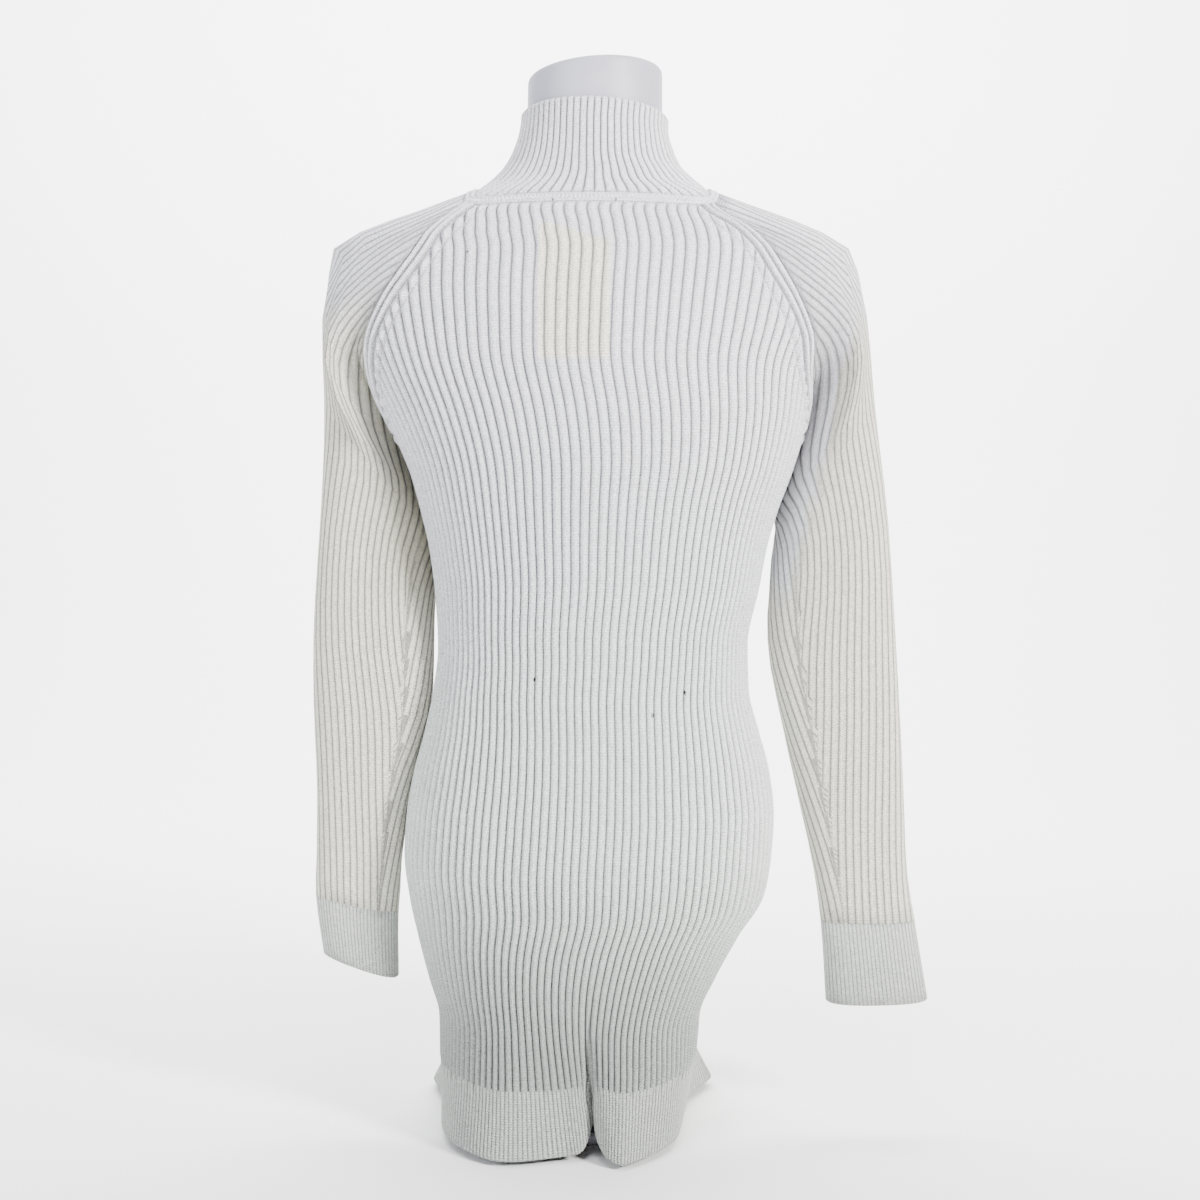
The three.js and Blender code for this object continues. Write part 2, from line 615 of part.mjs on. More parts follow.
// Keeps a point outside the body surface by a distance
function pushOut(p, clear) {
  const z = p.z;
  const a = (side.right(z) - side.left(z)) / 2 + clear;
  const middle = (side.right(z) + side.left(z)) / 2;
  const mid = side.mid(z);
  const depth = (p.y < mid ? mid - side.back(z) : side.front(z) - mid) + clear;
  const far = Math.hypot((p.x - middle) / a, (p.y - mid) / depth);
  if (far >= 1 || far < 1e-3) return p;
  p.x = middle + (p.x - middle) / far;
  p.y = mid + (p.y - mid) / far;
  return p;
}

// Line of one sleeve rib from the seam to the cuff's edge
const ribLines = new Map();
function ribLine(rows, sign, share) {
  const s = share - Math.floor(share);
  const key = `${sign} ${s.toFixed(6)}`;
  if (!ribLines.has(key)) {
    const start = sleeveStart(sign, s);
    const knots = [{ at: 0, x: start.x, y: start.y, z: start.z }];
    capLoops.forEach((loop, i) => {
      knots.push({ at: CAP_PLACES[i], x: sign * loop.x(s), y: loop.y(s), z: loop.z(s) });
    });
    for (const row of rows) {
      const p = sleeveRing(row, s);
      knots.push({ at: row.at, x: p.x, y: p.y, z: p.z });
    }
    ribLines.set(key, { x: flow(knots, 'at', 'x'), y: flow(knots, 'at', 'y'), z: flow(knots, 'at', 'z') });
  }
  return ribLines.get(key);
}

function sleevePoint(rows, sign, share, at) {
  const line = ribLine(rows, sign, share);
  const p = new THREE.Vector3(line.x(at), line.y(at), line.z(at));
  if (at <= 0) return p;
  return pushOut(p, SLEEVE_CLEAR * smooth(at / 0.05) * smooth((612 - p.z) / 14));
}

function sleeveShell(name, rows, sign, look, from, to, levels, ribs, high, seamEdge) {
  const columns = steps(ribs * 2);
  const real = (u) => (sign === 1 ? 1 - u : u);
  const point = (u, v) => sleevePoint(rows, sign, real(u), v);
  const normal = (u, v) => normalOf((a, b) => point(a, Math.max(0, b)), u, v, 0.006, 0.006).negate();
  return clothWall({
    name,
    look,
    point,
    normal,
    us: columns,
    rows: levels,
    every: 4,
    raise: (u) => high * ribWave(u * ribs),
    closed: true,
    fineTop: seamEdge,
    fineLow: false,
  });
}

// Dress form: foot, post, torso, shoulders and neck stump in one body
function dressForm() {
  const points = [];
  const rings = [];
  const count = 22;
  const put = (ring) => {
    rings.push(ring.map((p) => {
      points.push(p);
      return points.length - 1;
    }));
  };
  const oval = (z, rx, ry, x, y) => put(Array.from({ length: count }, (v, i) => {
    const a = (i / count) * 2 * Math.PI;
    return new THREE.Vector3(x + rx * Math.sin(a), y - ry * Math.cos(a), z);
  }));
  const torso = (z, inset) => put(Array.from({ length: count }, (v, i) => {
    const turn = (i / count) * 360 - (i > count / 2 ? 360 : 0);
    return onBody(turn, z, -inset);
  }));
  const fx = -SHIFT_X;
  const fy = -SHIFT_Y;
  oval(0, FOOT.rx, FOOT.ry, fx, fy);
  oval(FOOT.high - 3, FOOT.rx, FOOT.ry, fx, fy);
  oval(FOOT.high, FOOT.rx - 4, FOOT.ry - 4, fx, fy);
  oval(FOOT.high + 2, FOOT.post + 3, FOOT.post + 3, fx, fy);
  oval(FOOT.high + 8, FOOT.post, FOOT.post, fx, fy);
  oval(FORM_UNDER - 4, FOOT.post, FOOT.post, fx, fy);
  torso(FORM_UNDER, 34);
  torso(FORM_UNDER + 3, 16);
  torso(FORM_UNDER + 14, 9);
  for (const z of [180, 214, 242, 272, 310, 350, 400, 450, 500, 560, 600, 637, 670, 704]) torso(z, FORM_INSET + 2);
  for (const z of [724, 738, 747, 755, 763, 772, 781, 790, 800, 816, 836, 862]) {
    torso(z, mix(FORM_INSET, NECK_INSET, smooth((z - 775) / 70)));
  }
  const capAt = (z, inset) => put(Array.from({ length: count }, (v, i) => {
    const turn = (i / count) * 360 - (i > count / 2 ? 360 : 0);
    const p = onBody(turn, z, -inset);
    p.z += 4 * Math.sin(turn * RAD);
    return p;
  }));
  capAt(NECK_TOP - 8, NECK_INSET);
  capAt(NECK_TOP - 3, NECK_INSET + 1.6);
  capAt(NECK_TOP, NECK_INSET + 6.5);
  const faces = [];
  for (let r = 0; r < rings.length - 1; r += 1) {
    strip(faces, [...rings[r], rings[r][0]], [...rings[r + 1], rings[r + 1][0]], false);
  }
  for (const [ring, up] of [[rings[0], false], [rings[rings.length - 1], true]]) {
    for (let i = 1; i < count - 1; i += 1) {
      faces.push(up ? [ring[0], ring[i], ring[i + 1]] : [ring[0], ring[i + 1], ring[i]]);
    }
  }
  return meshOf('dress_form', points, faces, FORM);
}

const BACK_ROWS = [0, 0.09, 0.17, 0.25, 0.33, 0.43, 0.55, 0.67, 0.79, 0.89, 0.95, 1];
const FRONT_ROWS = [0, 0.12, 0.26, 0.4, 0.54, 0.67, 0.78, 0.9, 1];
const SLEEVE_ROWS = [0.9995, 0.8, 0.62, 0.47, 0.35, 0.26, 0.19, 0.14, 0.07, 0];

const dress = new THREE.Group();
dress.name = 'sweater_dress';
dress.add(dressForm());
dress.add(panel('back_panel', 0, BACK_ROWS));
dress.add(panel('front_panel', PANEL_RIBS, FRONT_ROWS));
dress.add(hemBand('back_hem_band', 0));
dress.add(hemBand('front_hem_band', PANEL_RIBS));
dress.add(collar());
dress.add(neckTrim());
for (const [word, sign] of [['left', -1], ['right', 1]]) {
  for (const half of ['back', 'front']) dress.add(raglanBand(`raglan_band_${half}_${word}`, half, sign));
}
for (const [word, sign, rows] of [['left', -1, LEFT_SLEEVE], ['right', 1, RIGHT_SLEEVE]]) {
  dress.add(sleeveShell(`sleeve_${word}`, rows, sign, KNIT, 0, 1, SLEEVE_ROWS, SLEEVE_RIBS, RIB_HIGH, true));
  dress.add(sleeveShell(`cuff_${word}`, rows, sign, KNIT_FINE, 1, 1.14, [1.139, 1.0008], CUFF_RIBS, FINE_HIGH, false));
}

export default dress;
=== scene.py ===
import bpy
import numpy as np
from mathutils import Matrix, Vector


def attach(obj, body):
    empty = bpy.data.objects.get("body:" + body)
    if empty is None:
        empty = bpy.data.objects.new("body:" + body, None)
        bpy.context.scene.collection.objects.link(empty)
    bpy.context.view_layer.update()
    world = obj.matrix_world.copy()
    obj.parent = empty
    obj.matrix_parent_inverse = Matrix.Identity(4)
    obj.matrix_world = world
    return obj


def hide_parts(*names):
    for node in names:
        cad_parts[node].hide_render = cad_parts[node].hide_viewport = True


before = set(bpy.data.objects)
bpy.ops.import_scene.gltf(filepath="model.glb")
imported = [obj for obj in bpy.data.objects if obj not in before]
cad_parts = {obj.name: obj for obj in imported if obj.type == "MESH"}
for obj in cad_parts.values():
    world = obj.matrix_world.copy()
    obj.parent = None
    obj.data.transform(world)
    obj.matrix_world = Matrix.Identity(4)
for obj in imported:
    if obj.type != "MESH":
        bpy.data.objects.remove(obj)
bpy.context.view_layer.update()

# Rib knit sweater dress on a limbless dress form, seen from the back (-Y).
# Tables and shape functions are in millimetres about the body's axis; meshOf moves them to the row's frame
# in metres.
shift = np.array([8.0, -14.0, 0.0])

# height: side edges, back, widest line and front in plan, rib pitch at the middle
bodyTable = np.array([
    [5, -135, 97, -92, 10, 124, 5.6],
    [67, -132, 95, -93, 8, 120, 5.3],
    [100, -131, 93, -96, 6, 117, 5.2],
    [134, -139, 104, -101, 4, 115, 5.5],
    [168, -147, 121, -109, 2, 113, 5.9],
    [202, -154, 142, -117, 0, 112, 6.2],
    [236, -158, 148, -122, 0, 111, 6.4],
    [270, -156, 150, -119, 0, 109, 6.4],
    [305, -150, 146, -110, 0, 106, 6.3],
    [339, -141, 137, -99, 0, 102, 6.3],
    [373, -134, 129, -89, 0, 97, 6.4],
    [410, -130, 128, -83, 0, 93, 6.6],
    [460, -133, 138, -84, 0, 94, 6.9],
    [496, -138, 145, -88, 0, 100, 7.2],
    [526, -145, 154, -92, 0, 108, 7.5],
    [558, -154, 166, -97, 0, 118, 7.9],
    [598, -172, 178, -101, 0, 124, 8.3],
    [637, -193, 186, -102, 0, 117, 8.6],
    [670, -210, 203, -100, 0, 105, 8.8],
    [705, -221, 217, -95, 0, 93, 9.0],
    [731, -223, 222, -88, 0, 82, 9.1],
    [742, -221, 217, -84, 0, 78, 9.2],
    [750, -212, 206, -81, 0, 76, 9.2],
    [763, -181, 170, -76, 0, 72, 9.3],
    [771, -157, 150, -73, 1, 71, 9.4],
    [780, -133, 130, -70.5, 2, 70, 9.4],
    [791, -103, 101, -66, 3, 69, 9],
    [798, -92, 91, -63, 4, 68, 8.5],
    [814, -76, 74, -58, 5, 67, 8],
    [831, -67, 66, -54.5, 6, 67, 7.5],
    [848, -62, 62, -52.5, 7, 66, 7],
    [861, -60.5, 62, -52, 8, 66, 6.5],
    [900, -60, 62, -52, 8, 66, 6.5],
], float)

# lower edge of the hem: rib, x, y, z
hemTable = np.array([
    [0, -129, 12, 8], [4.8, -125, -27, 8], [9.5, -109, -62, 7], [15.6, -74, -91, 5.5],
    [22.6, -20, -83, 7], [24.6, -9.5, -82, 10], [26, -4.5, -74, 17], [27, -0.5, -63, 26],
    [28, 3, -76, 17], [29.5, 8.5, -88, 9.5], [31.3, 15.5, -96, 6.5], [33.2, 25, -99, 5.5], [42.1, 64, -53, 7],
    [50, 76, 10, 8], [55.1, 84, 62, 8], [62.1, 107, 121, 8], [67.5, 62, 133, 7],
    [75.3, -20, 127, 8], [83.2, -100, 134, 7], [88.5, -146, 121, 8], [94, -137, 70, 8],
    [100, -129, 12, 8],
], float)

# neck seam by angle from the back middle: collar edge and the trim's lower edge
neckTable = np.array([
    [0, 776.5, 768.6], [20, 776.3, 768.4], [32, 775.8, 768.4], [41, 776.6, 771], [51, 783, 779],
    [64, 789, 785.6], [78, 793.6, 789.2], [90, 795, 790.5], [104, 793.4, 789], [118, 788.2, 784.6],
    [132, 780.5, 776.5], [146, 768.8, 762.4], [160, 762, 754.5], [180, 759, 751.5],
], float)

# raglan seam: angle from the middle and height, inner and outer edge of the two-rib band
raglanIn = np.array([
    [34.6, 768.8], [33.6, 760], [33.6, 748], [35.9, 732], [41, 711], [48.4, 689], [59, 662],
    [69.5, 637], [79.5, 612], [90, 588],
], float)
raglanOut = np.array([
    [41.5, 771.3], [38.9, 765], [37.6, 756], [38.3, 744], [42.6, 724], [52, 694], [62.8, 668],
    [72.5, 645], [81.5, 625], [90, 608],
], float)

# shoulder cap: three loops by share of the way round from the top over the back, x outwards
capPlaces = [0.09, 0.19, 0.27]
capShares = [0, 0.15, 0.25, 0.38, 0.5, 0.62, 0.75, 0.85, 1]
capLoops = np.array([
    [[156, 0, 772], [145, -54, 757], [172, -57, 728], [197, -38, 668], [173, 30, 604],
     [197, 38, 668], [172, 54, 726], [145, 51, 753]],
    [[212, 4, 749], [203, -36, 738], [211, -36, 706], [214, -32, 650], [159, 42, 577],
     [196, 36, 638], [212, 40, 698], [205, 37, 735]],
    [[228, 14, 712], [227, -14, 700], [224, -27, 668], [213, -37, 616], [150, 44, 546],
     [176, 46, 574], [205, 44, 630], [221, 36, 678]],
], float)

# rings below the shoulder: place, outer x and z, inner x and z, y, half thickness, roundness, twist,
# and how far the inner side tucks in behind the body's edge
leftSleeve = np.array([
    [0.37, -229, 622, -134, 496, 15, 38, 2.2, 0.12, 24],
    [0.48, -232, 532, -139, 460, 15, 32, 2.3, 0.15, 10],
    [0.6, -237, 434, -139, 408, 8, 28, 2.4, 0.16, 0],
    [0.71, -237, 362, -141.5, 350, 6, 26, 2.4, 0.16, 0],
    [0.82, -233.5, 296, -155.5, 290, 2, 24, 2.4, 0.16, 0],
    [0.91, -233.5, 240, -163, 236, 1, 22, 2.4, 0.16, 0],
    [1, -234, 200, -168, 186, 0, 20, 2.4, 0.16, 0],
    [1.14, -227.5, 151, -168, 130, 0, 19, 2.4, 0.16, 0],
], float)
rightSleeve = np.array([
    [0.37, 235.5, 618, 156, 500, 1, 38, 2.2, 0.12, 20],
    [0.48, 247, 528, 151.5, 461, 2, 32, 2.3, 0.15, 0],
    [0.6, 254, 424, 150.5, 406, 3, 28, 2.4, 0.16, 0],
    [0.71, 258.5, 346, 163, 340, 3, 26, 2.4, 0.16, 0],
    [0.82, 261.5, 276, 176.5, 278, 2, 24, 2.4, 0.16, 0],
    [0.91, 263.5, 222, 188, 225, 1, 22, 2.4, 0.16, 0],
    [1, 270, 178, 194.5, 178, 0, 20, 2.4, 0.16, 0],
    [1.14, 281, 111, 199, 109, 0, 20, 2.4, 0.16, 0],
], float)

capLean = [0.045, 0.06, 0.045]    # how far rib lines sink round each cap loop
panelRibs = 56
tableRibs = 50       # ribs a panel as hemTable counts them
evenMost = 1.35      # most that ribs spread evenly, where they are wide for the body
armpit = 588         # height where the raglan seams end
hemDeep = 54
hemLine = 62.5       # highest that the hem band's top edge goes, also over the fold
flareStart = 165
flarePower = 1.7
neckShare = 0.15     # share of half a sleeve's ribs that start at the neck
rad = np.pi / 180
photoScale = {"perPixel": 0.85, "distance": 1300, "middle": 600, "x": 5.1, "z": 449}


def smooth(t):
    s = np.clip(t, 0, 1)
    return s * s * (3 - 2 * s)


def mix(a, b, t):
    return a + (b - a) * t


def hermite(xs, ys, tangents, x, limit):
    i = np.clip(np.searchsorted(xs, x) - 1, 0, len(xs) - 2)
    t = (x - xs[i]) / (xs[i + 1] - xs[i])
    if limit:
        t = np.clip(t, 0, 1)
    shape = np.shape(t) + (1,) * (ys.ndim - 1)
    h, t = np.reshape(xs[i + 1] - xs[i], shape), np.reshape(t, shape)
    t2 = t * t
    t3 = t2 * t
    return ((2 * t3 - 3 * t2 + 1) * ys[i] + (t3 - 2 * t2 + t) * h * tangents[i]
            + (3 * t2 - 2 * t3) * ys[i + 1] + (t3 - t2) * h * tangents[i + 1])


# smooth curve through table rows, without overshoot
def curve(xs, ys):
    xs, ys = np.array(xs, float), np.array(ys, float)
    slope = np.diff(ys) / np.diff(xs)
    a, b = slope[:-1], slope[1:]
    onward = a * b > 0
    inner = np.where(onward, 2 * a * b / np.where(onward, a + b, 1), 0)
    tangents = np.concatenate([[slope[0]], inner, [slope[-1]]])
    return lambda x: hermite(xs, ys, tangents, np.asarray(x, float), True)


# rounder curve through numbers or points, for rings and folds
def flow(xs, ys, closed=False):
    xs, ys = np.array(xs, float), np.array(ys, float)
    across = xs.reshape((-1,) + (1,) * (ys.ndim - 1))
    tangents = np.empty_like(ys)
    tangents[1:-1] = (ys[2:] - ys[:-2]) / (across[2:] - across[:-2])
    if closed:
        tangents[0] = tangents[-1] = (ys[1] - ys[-2]) / (xs[1] - xs[-2] + xs[-1] - xs[0])
    else:
        tangents[0] = (ys[1] - ys[0]) / (xs[1] - xs[0])
        tangents[-1] = (ys[-1] - ys[-2]) / (xs[-1] - xs[-2])
    return lambda x: hermite(xs, ys, tangents, np.asarray(x, float), False)


side = {name: curve(bodyTable[:, 0], bodyTable[:, i + 1])
        for i, name in enumerate(["left", "right", "back", "mid", "front", "pitch"])}
hem = {name: flow(hemTable[:, 0] * panelRibs / tableRibs, hemTable[:, i + 1], True)
       for i, name in enumerate("xyz")}
neck = {name: curve(neckTable[:, 0], neckTable[:, i + 1]) for i, name in enumerate(["top", "low"])}


# half width, middle and widest line of the body at a height, and its depth on one side of that line
def bodyOval(z, behind):
    left, right, mid = side["left"](z), side["right"](z), side["mid"](z)
    depth = np.where(behind, mid - side["back"](z), side["front"](z) - mid)
    return (right - left) / 2, (right + left) / 2, mid, depth


# point of the body surface at an angle from the back middle (right side at 90) and a height
def onBody(turn, z, out=0.0):
    turn, z = np.broadcast_arrays(np.asarray(turn, float), np.asarray(z, float))
    c = np.cos(turn * rad)
    half, middle, mid, depth = bodyOval(z, c > 0)
    return np.stack([middle + (half + out) * np.sin(turn * rad), mid - (depth + out) * c, z], -1)


# angle at which a rib of the body lies at a height; ribs count from the left side over the back
def ribTurn(rib, z):
    half = bodyOval(z, True)[0]
    even = np.minimum(evenMost, side["pitch"](z) * panelRibs / (np.pi * half))
    back = rib <= panelRibs
    u = np.where(back, 2 * rib / panelRibs - 1, 3 - 2 * rib / panelRibs)
    angle = 90 * (even * u + (1 - even) * u ** 3)
    return np.where(back, angle, np.where(u >= 0, 180 - angle, -180 - angle))


# point of the dress at a rib and height, with the flare and fold of the skirt
def onDress(rib, z):
    rib, z = np.broadcast_arrays(np.asarray(rib, float), np.asarray(z, float))
    p = onBody(ribTurn(rib, z), z)
    low = hem["z"](rib)
    foot = onBody(ribTurn(rib, low), low)
    f = np.clip((flareStart - z) / (flareStart - low), 0, None) ** flarePower
    p[..., 0] += f * (hem["x"](rib) - foot[..., 0])
    p[..., 1] += f * (hem["y"](rib) - foot[..., 1])
    return p


# height of the seam between hem band and panel
def bandTop(rib):
    return np.minimum(hem["z"](rib) + hemDeep, hemLine)


def unit(v):
    return v / np.maximum(np.linalg.norm(v, axis=-1, keepdims=True), 1e-9)


# length run along a line of points
def runAlong(points):
    return np.concatenate([[0], np.cumsum(np.linalg.norm(np.diff(points, axis=0), axis=-1))])


# normals of a grid of points; wrap joins its last column to the first
def gridNormals(points, wrap=False):
    if wrap:
        wide = np.concatenate([points[:, -2:-1], points, points[:, 1:2]], 1)
        across = wide[:, 2:] - wide[:, :-2]
    else:
        across = np.gradient(points, axis=1)
    return unit(np.cross(across, np.gradient(points, axis=0)))


# raglan seam as (angle, height) by share of its length; half is back or front, which lies lower at the neck
def seamLine(table, half, sign, drop):
    at = np.linspace(0, len(table) - 1, 400)
    turn = flow(range(len(table)), table[:, 0])(at)
    z = flow(range(len(table)), table[:, 1])(at)
    if half == "front":
        z = z - drop * smooth((z - 700) / 68)
        turn = 180 - turn
    turn = turn * sign
    length = runAlong(onBody(turn, z))
    length /= length[-1]
    return lambda s: (np.interp(s, length, turn), np.interp(s, length, z))


halves = [(half, sign) for half in ("back", "front") for sign in (-1, 1)]
seamIn = {key: seamLine(raglanIn, *key, 6.4) for key in halves}
seamOut = {key: seamLine(raglanOut, *key, 1) for key in halves}


# height at which each rib of a panel ends, and whether that is at the raglan band
def ribTops(ribs, half):
    turns, heights = seamIn[half, 1](np.linspace(0, 1, 300))
    turns = turns if half == "back" else 180 - turns

    def outside(z):
        turn = ribTurn(ribs, z)
        across = np.abs(turn) if half == "back" else 180 - np.abs(turn)
        edge = np.interp(z, heights[::-1], turns[::-1])
        return (z > neck["low"](np.abs(turn))) | ((z > armpit) & (across > edge - 0.1))

    low = np.full(len(ribs), armpit - 1.0)
    found = np.zeros(len(ribs), bool)
    for z in np.arange(armpit - 1, 791, 1.0):
        found |= outside(np.full(len(ribs), z))
        low = np.where(found, low, z)
    high = low + 1
    for _ in range(20):
        z = (low + high) / 2
        out = outside(z)
        high = np.where(out, z, high)
        low = np.where(out, low, z)
    atBand = low < neck["low"](np.abs(ribTurn(ribs, low))) - 0.6
    return np.maximum(low, armpit), atBand


# columns that crowd at the grooves, where rib numbers are whole
def ribColumns(first, last, marks):
    whole = np.arange(first, last)
    return np.concatenate([(whole[:, None] + np.array(marks)[None]).ravel(), [last]])


# height of a rib across its width: a broad flat top between narrow grooves
def ribShape(u, groove=0.16, dome=0.3):
    w = np.abs(u - np.round(u))
    return (1 - dome) * smooth(w / groove) ** 0.8 + dome * np.sin(np.pi * np.clip(w, 0, 0.5)) ** 1.3


# place in the tables' frame of a point of the photograph, y being its depth
def fromPhoto(px, py, y=-30.0):
    s = photoScale["perPixel"] * (photoScale["distance"] + y) / photoScale["distance"]
    across, up = px - photoScale["middle"], photoScale["middle"] - py
    return photoScale["x"] + across * s, photoScale["z"] + up * s


# soft troughs (below 0) and ridges placed along lines read off the photograph
def foldField(points, normals, folds):
    total = np.zeros(points.shape[:-1])
    for fold in folds:
        line = np.array([fromPhoto(*p) for p in fold["line"]])
        seg = np.diff(line, axis=0)
        length = np.linalg.norm(seg, axis=1)
        run = runAlong(line)
        best = np.full(total.shape, 1e9)
        where, beyond = np.zeros((2, *total.shape))
        for i in range(len(seg)):
            rel = points[..., [0, 2]] - line[i]
            t = np.clip((rel @ seg[i]) / length[i] ** 2, 0, 1)
            far = np.linalg.norm(rel - t[..., None] * seg[i], axis=-1)
            near = far < best
            best = np.where(near, far, best)
            where = np.where(near, (run[i] + t * length[i]) / run[-1], where)
            cross = seg[i, 0] * rel[..., 1] - seg[i, 1] * rel[..., 0]
            beyond = np.where(near, np.sign(cross) * far, beyond)
        rise = np.exp(-(best / fold["wide"]) ** 2)
        if "lap" in fold:    # cloth folded over: rises slowly to an edge and drops behind it
            rise = smooth((1.2 - beyond) / 2.4) * np.exp(-np.abs(beyond) / fold["lap"])
            rise = rise - 0.55 * np.exp(-((beyond - fold["wide"]) / fold["wide"]) ** 2)
        taper = smooth(where / 0.25) * smooth((1 - where) / 0.25)
        facing = smooth(0.5 - fold.get("face", 1) * normals[..., 1] * 1.2)
        total += fold["depth"] * rise * taper * facing
    return total


# how far a point lies on the inner side of a fold's line, for a paler colour there, and in the crease along
# it, for a painted shadow
def besideFold(points, line):
    at = np.array([fromPhoto(*p) for p in line])
    inward = np.interp(points[..., 2], at[::-1, 1], at[::-1, 0]) - points[..., 0]
    shown = smooth((points[..., 2] - at[-1, 1]) / 12)
    crease = np.exp(-((inward + 1.5) / 1.7) ** 2) * smooth((at[0, 1] - points[..., 2]) / 30)
    return smooth((inward + 0.8) / 1.6) * shown, crease * shown


def meshOf(name, points, faces, uvs):
    used = np.unique(np.concatenate([np.array(f, int).ravel() for f in faces]))
    remap = np.zeros(len(points), int)
    remap[used] = np.arange(len(used))
    corners = [face for f in faces for face in remap[np.array(f, int)].tolist()]
    mesh = bpy.data.meshes.new(name)
    mesh.from_pydata(((points[used] + shift) / 1000).tolist(), [], corners)
    layer = mesh.uv_layers.new(name="OFBake")
    layer.data.foreach_set("uv", np.concatenate([np.array(u, np.float32).reshape(-1) for u in uvs]))
    mesh.polygons.foreach_set("use_smooth", np.ones(len(mesh.polygons), bool))
    mesh.update()
    piece = bpy.data.objects.new(name, mesh)
    bpy.context.scene.collection.objects.link(piece)
    print(f"{name}: {sum(len(p.vertices) - 2 for p in mesh.polygons)} triangles")
    return piece, used


def addFloats(piece, used, values):
    for name, data in values.items():
        layer = piece.data.attributes.new(name, "FLOAT", "POINT")
        layer.data.foreach_set("value", np.asarray(data, np.float32).ravel()[used])


# closed wall of cloth: outer grid with all its relief, inner grid with fewer rows, rounded rims.
# ids lets columns share one vertex, where a wall closes or its ribs run out at a seam.
def clothWall(name, base, normals, out, thick, floats, bulge, innerStep=6, wrap=False, ids=None, flip=False):
    rows, cols = base.shape[:2]
    count = rows * cols
    if ids is None:
        ids = np.arange(count).reshape(rows, cols)
        if wrap:
            ids[:, -1] = ids[:, 0]
    outer = base + normals * out[..., None]
    inner = base - normals * thick
    ends = [unit(base[0] - base[1]), unit(base[-1] - base[-2])]
    rims = [(outer[r] + inner[r]) / 2 + end * b for r, end, b in zip((0, -1), ends, bulge)]
    points = np.concatenate([outer.reshape(-1, 3), inner.reshape(-1, 3), rims[0], rims[1]])
    u = np.linspace(0.01, 0.99, cols)
    v = np.linspace(0, 1, rows)
    keep = np.unique(np.concatenate([np.arange(0, rows, innerStep), [rows - 1]]))
    faces, uvs = [], []

    def strip(a, b, va, vb, turned):
        quad = np.stack([a[:-1], a[1:], b[1:], b[:-1]], -1)
        place = np.empty((cols - 1, 4, 2))
        place[:, [0, 3], 0] = u[:-1, None]
        place[:, [1, 2], 0] = u[1:, None]
        place[:, :2, 1] = va
        place[:, 2:, 1] = vb
        if turned:
            quad, place = quad[:, ::-1], place[:, ::-1]
        same = (quad[:, 0] == quad[:, 1]) | (quad[:, 2] == quad[:, 3])
        if not same.all():
            faces.append(quad[~same])
            uvs.append(place[~same])
        for q, w in zip(quad[same], place[same]):
            pick = [i for i in range(4) if q[i] != q[i - 1]]
            if len(pick) == 3:
                faces.append([[q[i] for i in pick]])
                uvs.append([[w[i] for i in pick]])

    def closeSide(col, turned, low):
        line, backLine = ids[:, col], count + ids[keep, col]
        at = u[0] + (u[-1] - u[0]) * v
        tris, places = [], []

        def add(tri, place):
            tris.append(tri if turned else tri[::-1])
            places.append(place if turned else place[::-1])

        j = 0
        for i in range(rows - 1):
            here, there = (at[i], low), (at[i + 1], low)
            behind, after = (at[keep[j]], low + 0.01), (at[keep[j + 1]], low + 0.01)
            add([line[i], line[i + 1], backLine[j]], [here, there, behind])
            if i + 1 == keep[j + 1]:
                add([line[i + 1], backLine[j + 1], backLine[j]], [there, after, behind])
                j += 1
        for x, tri in ((at[0], [rimIds[0][col], line[0], backLine[0]]),
                       (at[-1], [line[-1], rimIds[1][col], backLine[-1]])):
            add(tri, [(x, low - 0.002), (x, low), (x, low + 0.01)])
        faces.append(tris)
        uvs.append(places)

    for r in range(rows - 1):
        strip(ids[r], ids[r + 1], 0.01 + 0.72 * v[r], 0.01 + 0.72 * v[r + 1], flip)
    for a, b in zip(keep[:-1], keep[1:]):
        strip(count + ids[a], count + ids[b], 0.76 + 0.16 * v[a], 0.76 + 0.16 * v[b], not flip)
    rimIds = [2 * count + ids[0] % cols, 2 * count + cols + ids[-1] % cols]
    for end, low, turned in ((0, 0.930, not flip), (-1, 0.948, flip)):
        strip(ids[end], rimIds[end], low, low + 0.006, turned)
        strip(rimIds[end], count + ids[end], low + 0.006, low + 0.012, turned)
    if not wrap:
        closeSide(0, not flip, 0.966)
        closeSide(cols - 1, flip, 0.982)
    piece, used = meshOf(name, points, faces, uvs)
    values = {"inside": np.concatenate([np.zeros(count), np.ones(count), np.full(2 * cols, 0.5)])}
    for key, data in floats.items():
        data = np.broadcast_to(data, (rows, cols)).reshape(-1)
        values[key] = np.concatenate([data, data, data[:cols], data[-cols:]])
    addFloats(piece, used, values)
    return piece


# surface area of a grid in square metres, printed for each cloth piece
def gridArea(points):
    a = points[1:, :-1] - points[:-1, :-1]
    b = points[:-1, 1:] - points[:-1, :-1]
    return float(np.linalg.norm(np.cross(a, b), axis=-1).sum()) / 1e6


marksFine = [0, 0.055, 0.125, 0.26, 0.5, 0.74, 0.875, 0.945]
marksBand = [0, 0.1, 0.22, 0.5, 0.78, 0.9]

# each rib ends in a small loop beside the band, with a dip under it; At is the distance from the rib's end
panelLook = {
    "backRows": 168, "frontRows": 112, "ribHigh": 2.4, "thick": 1.9, "groove": 0.28, "knot": 3.2,
    "loopAt": 7, "loopWide": 2.6, "dipAt": 13, "dipWide": 1.9, "dipDeep": 1.5,
}
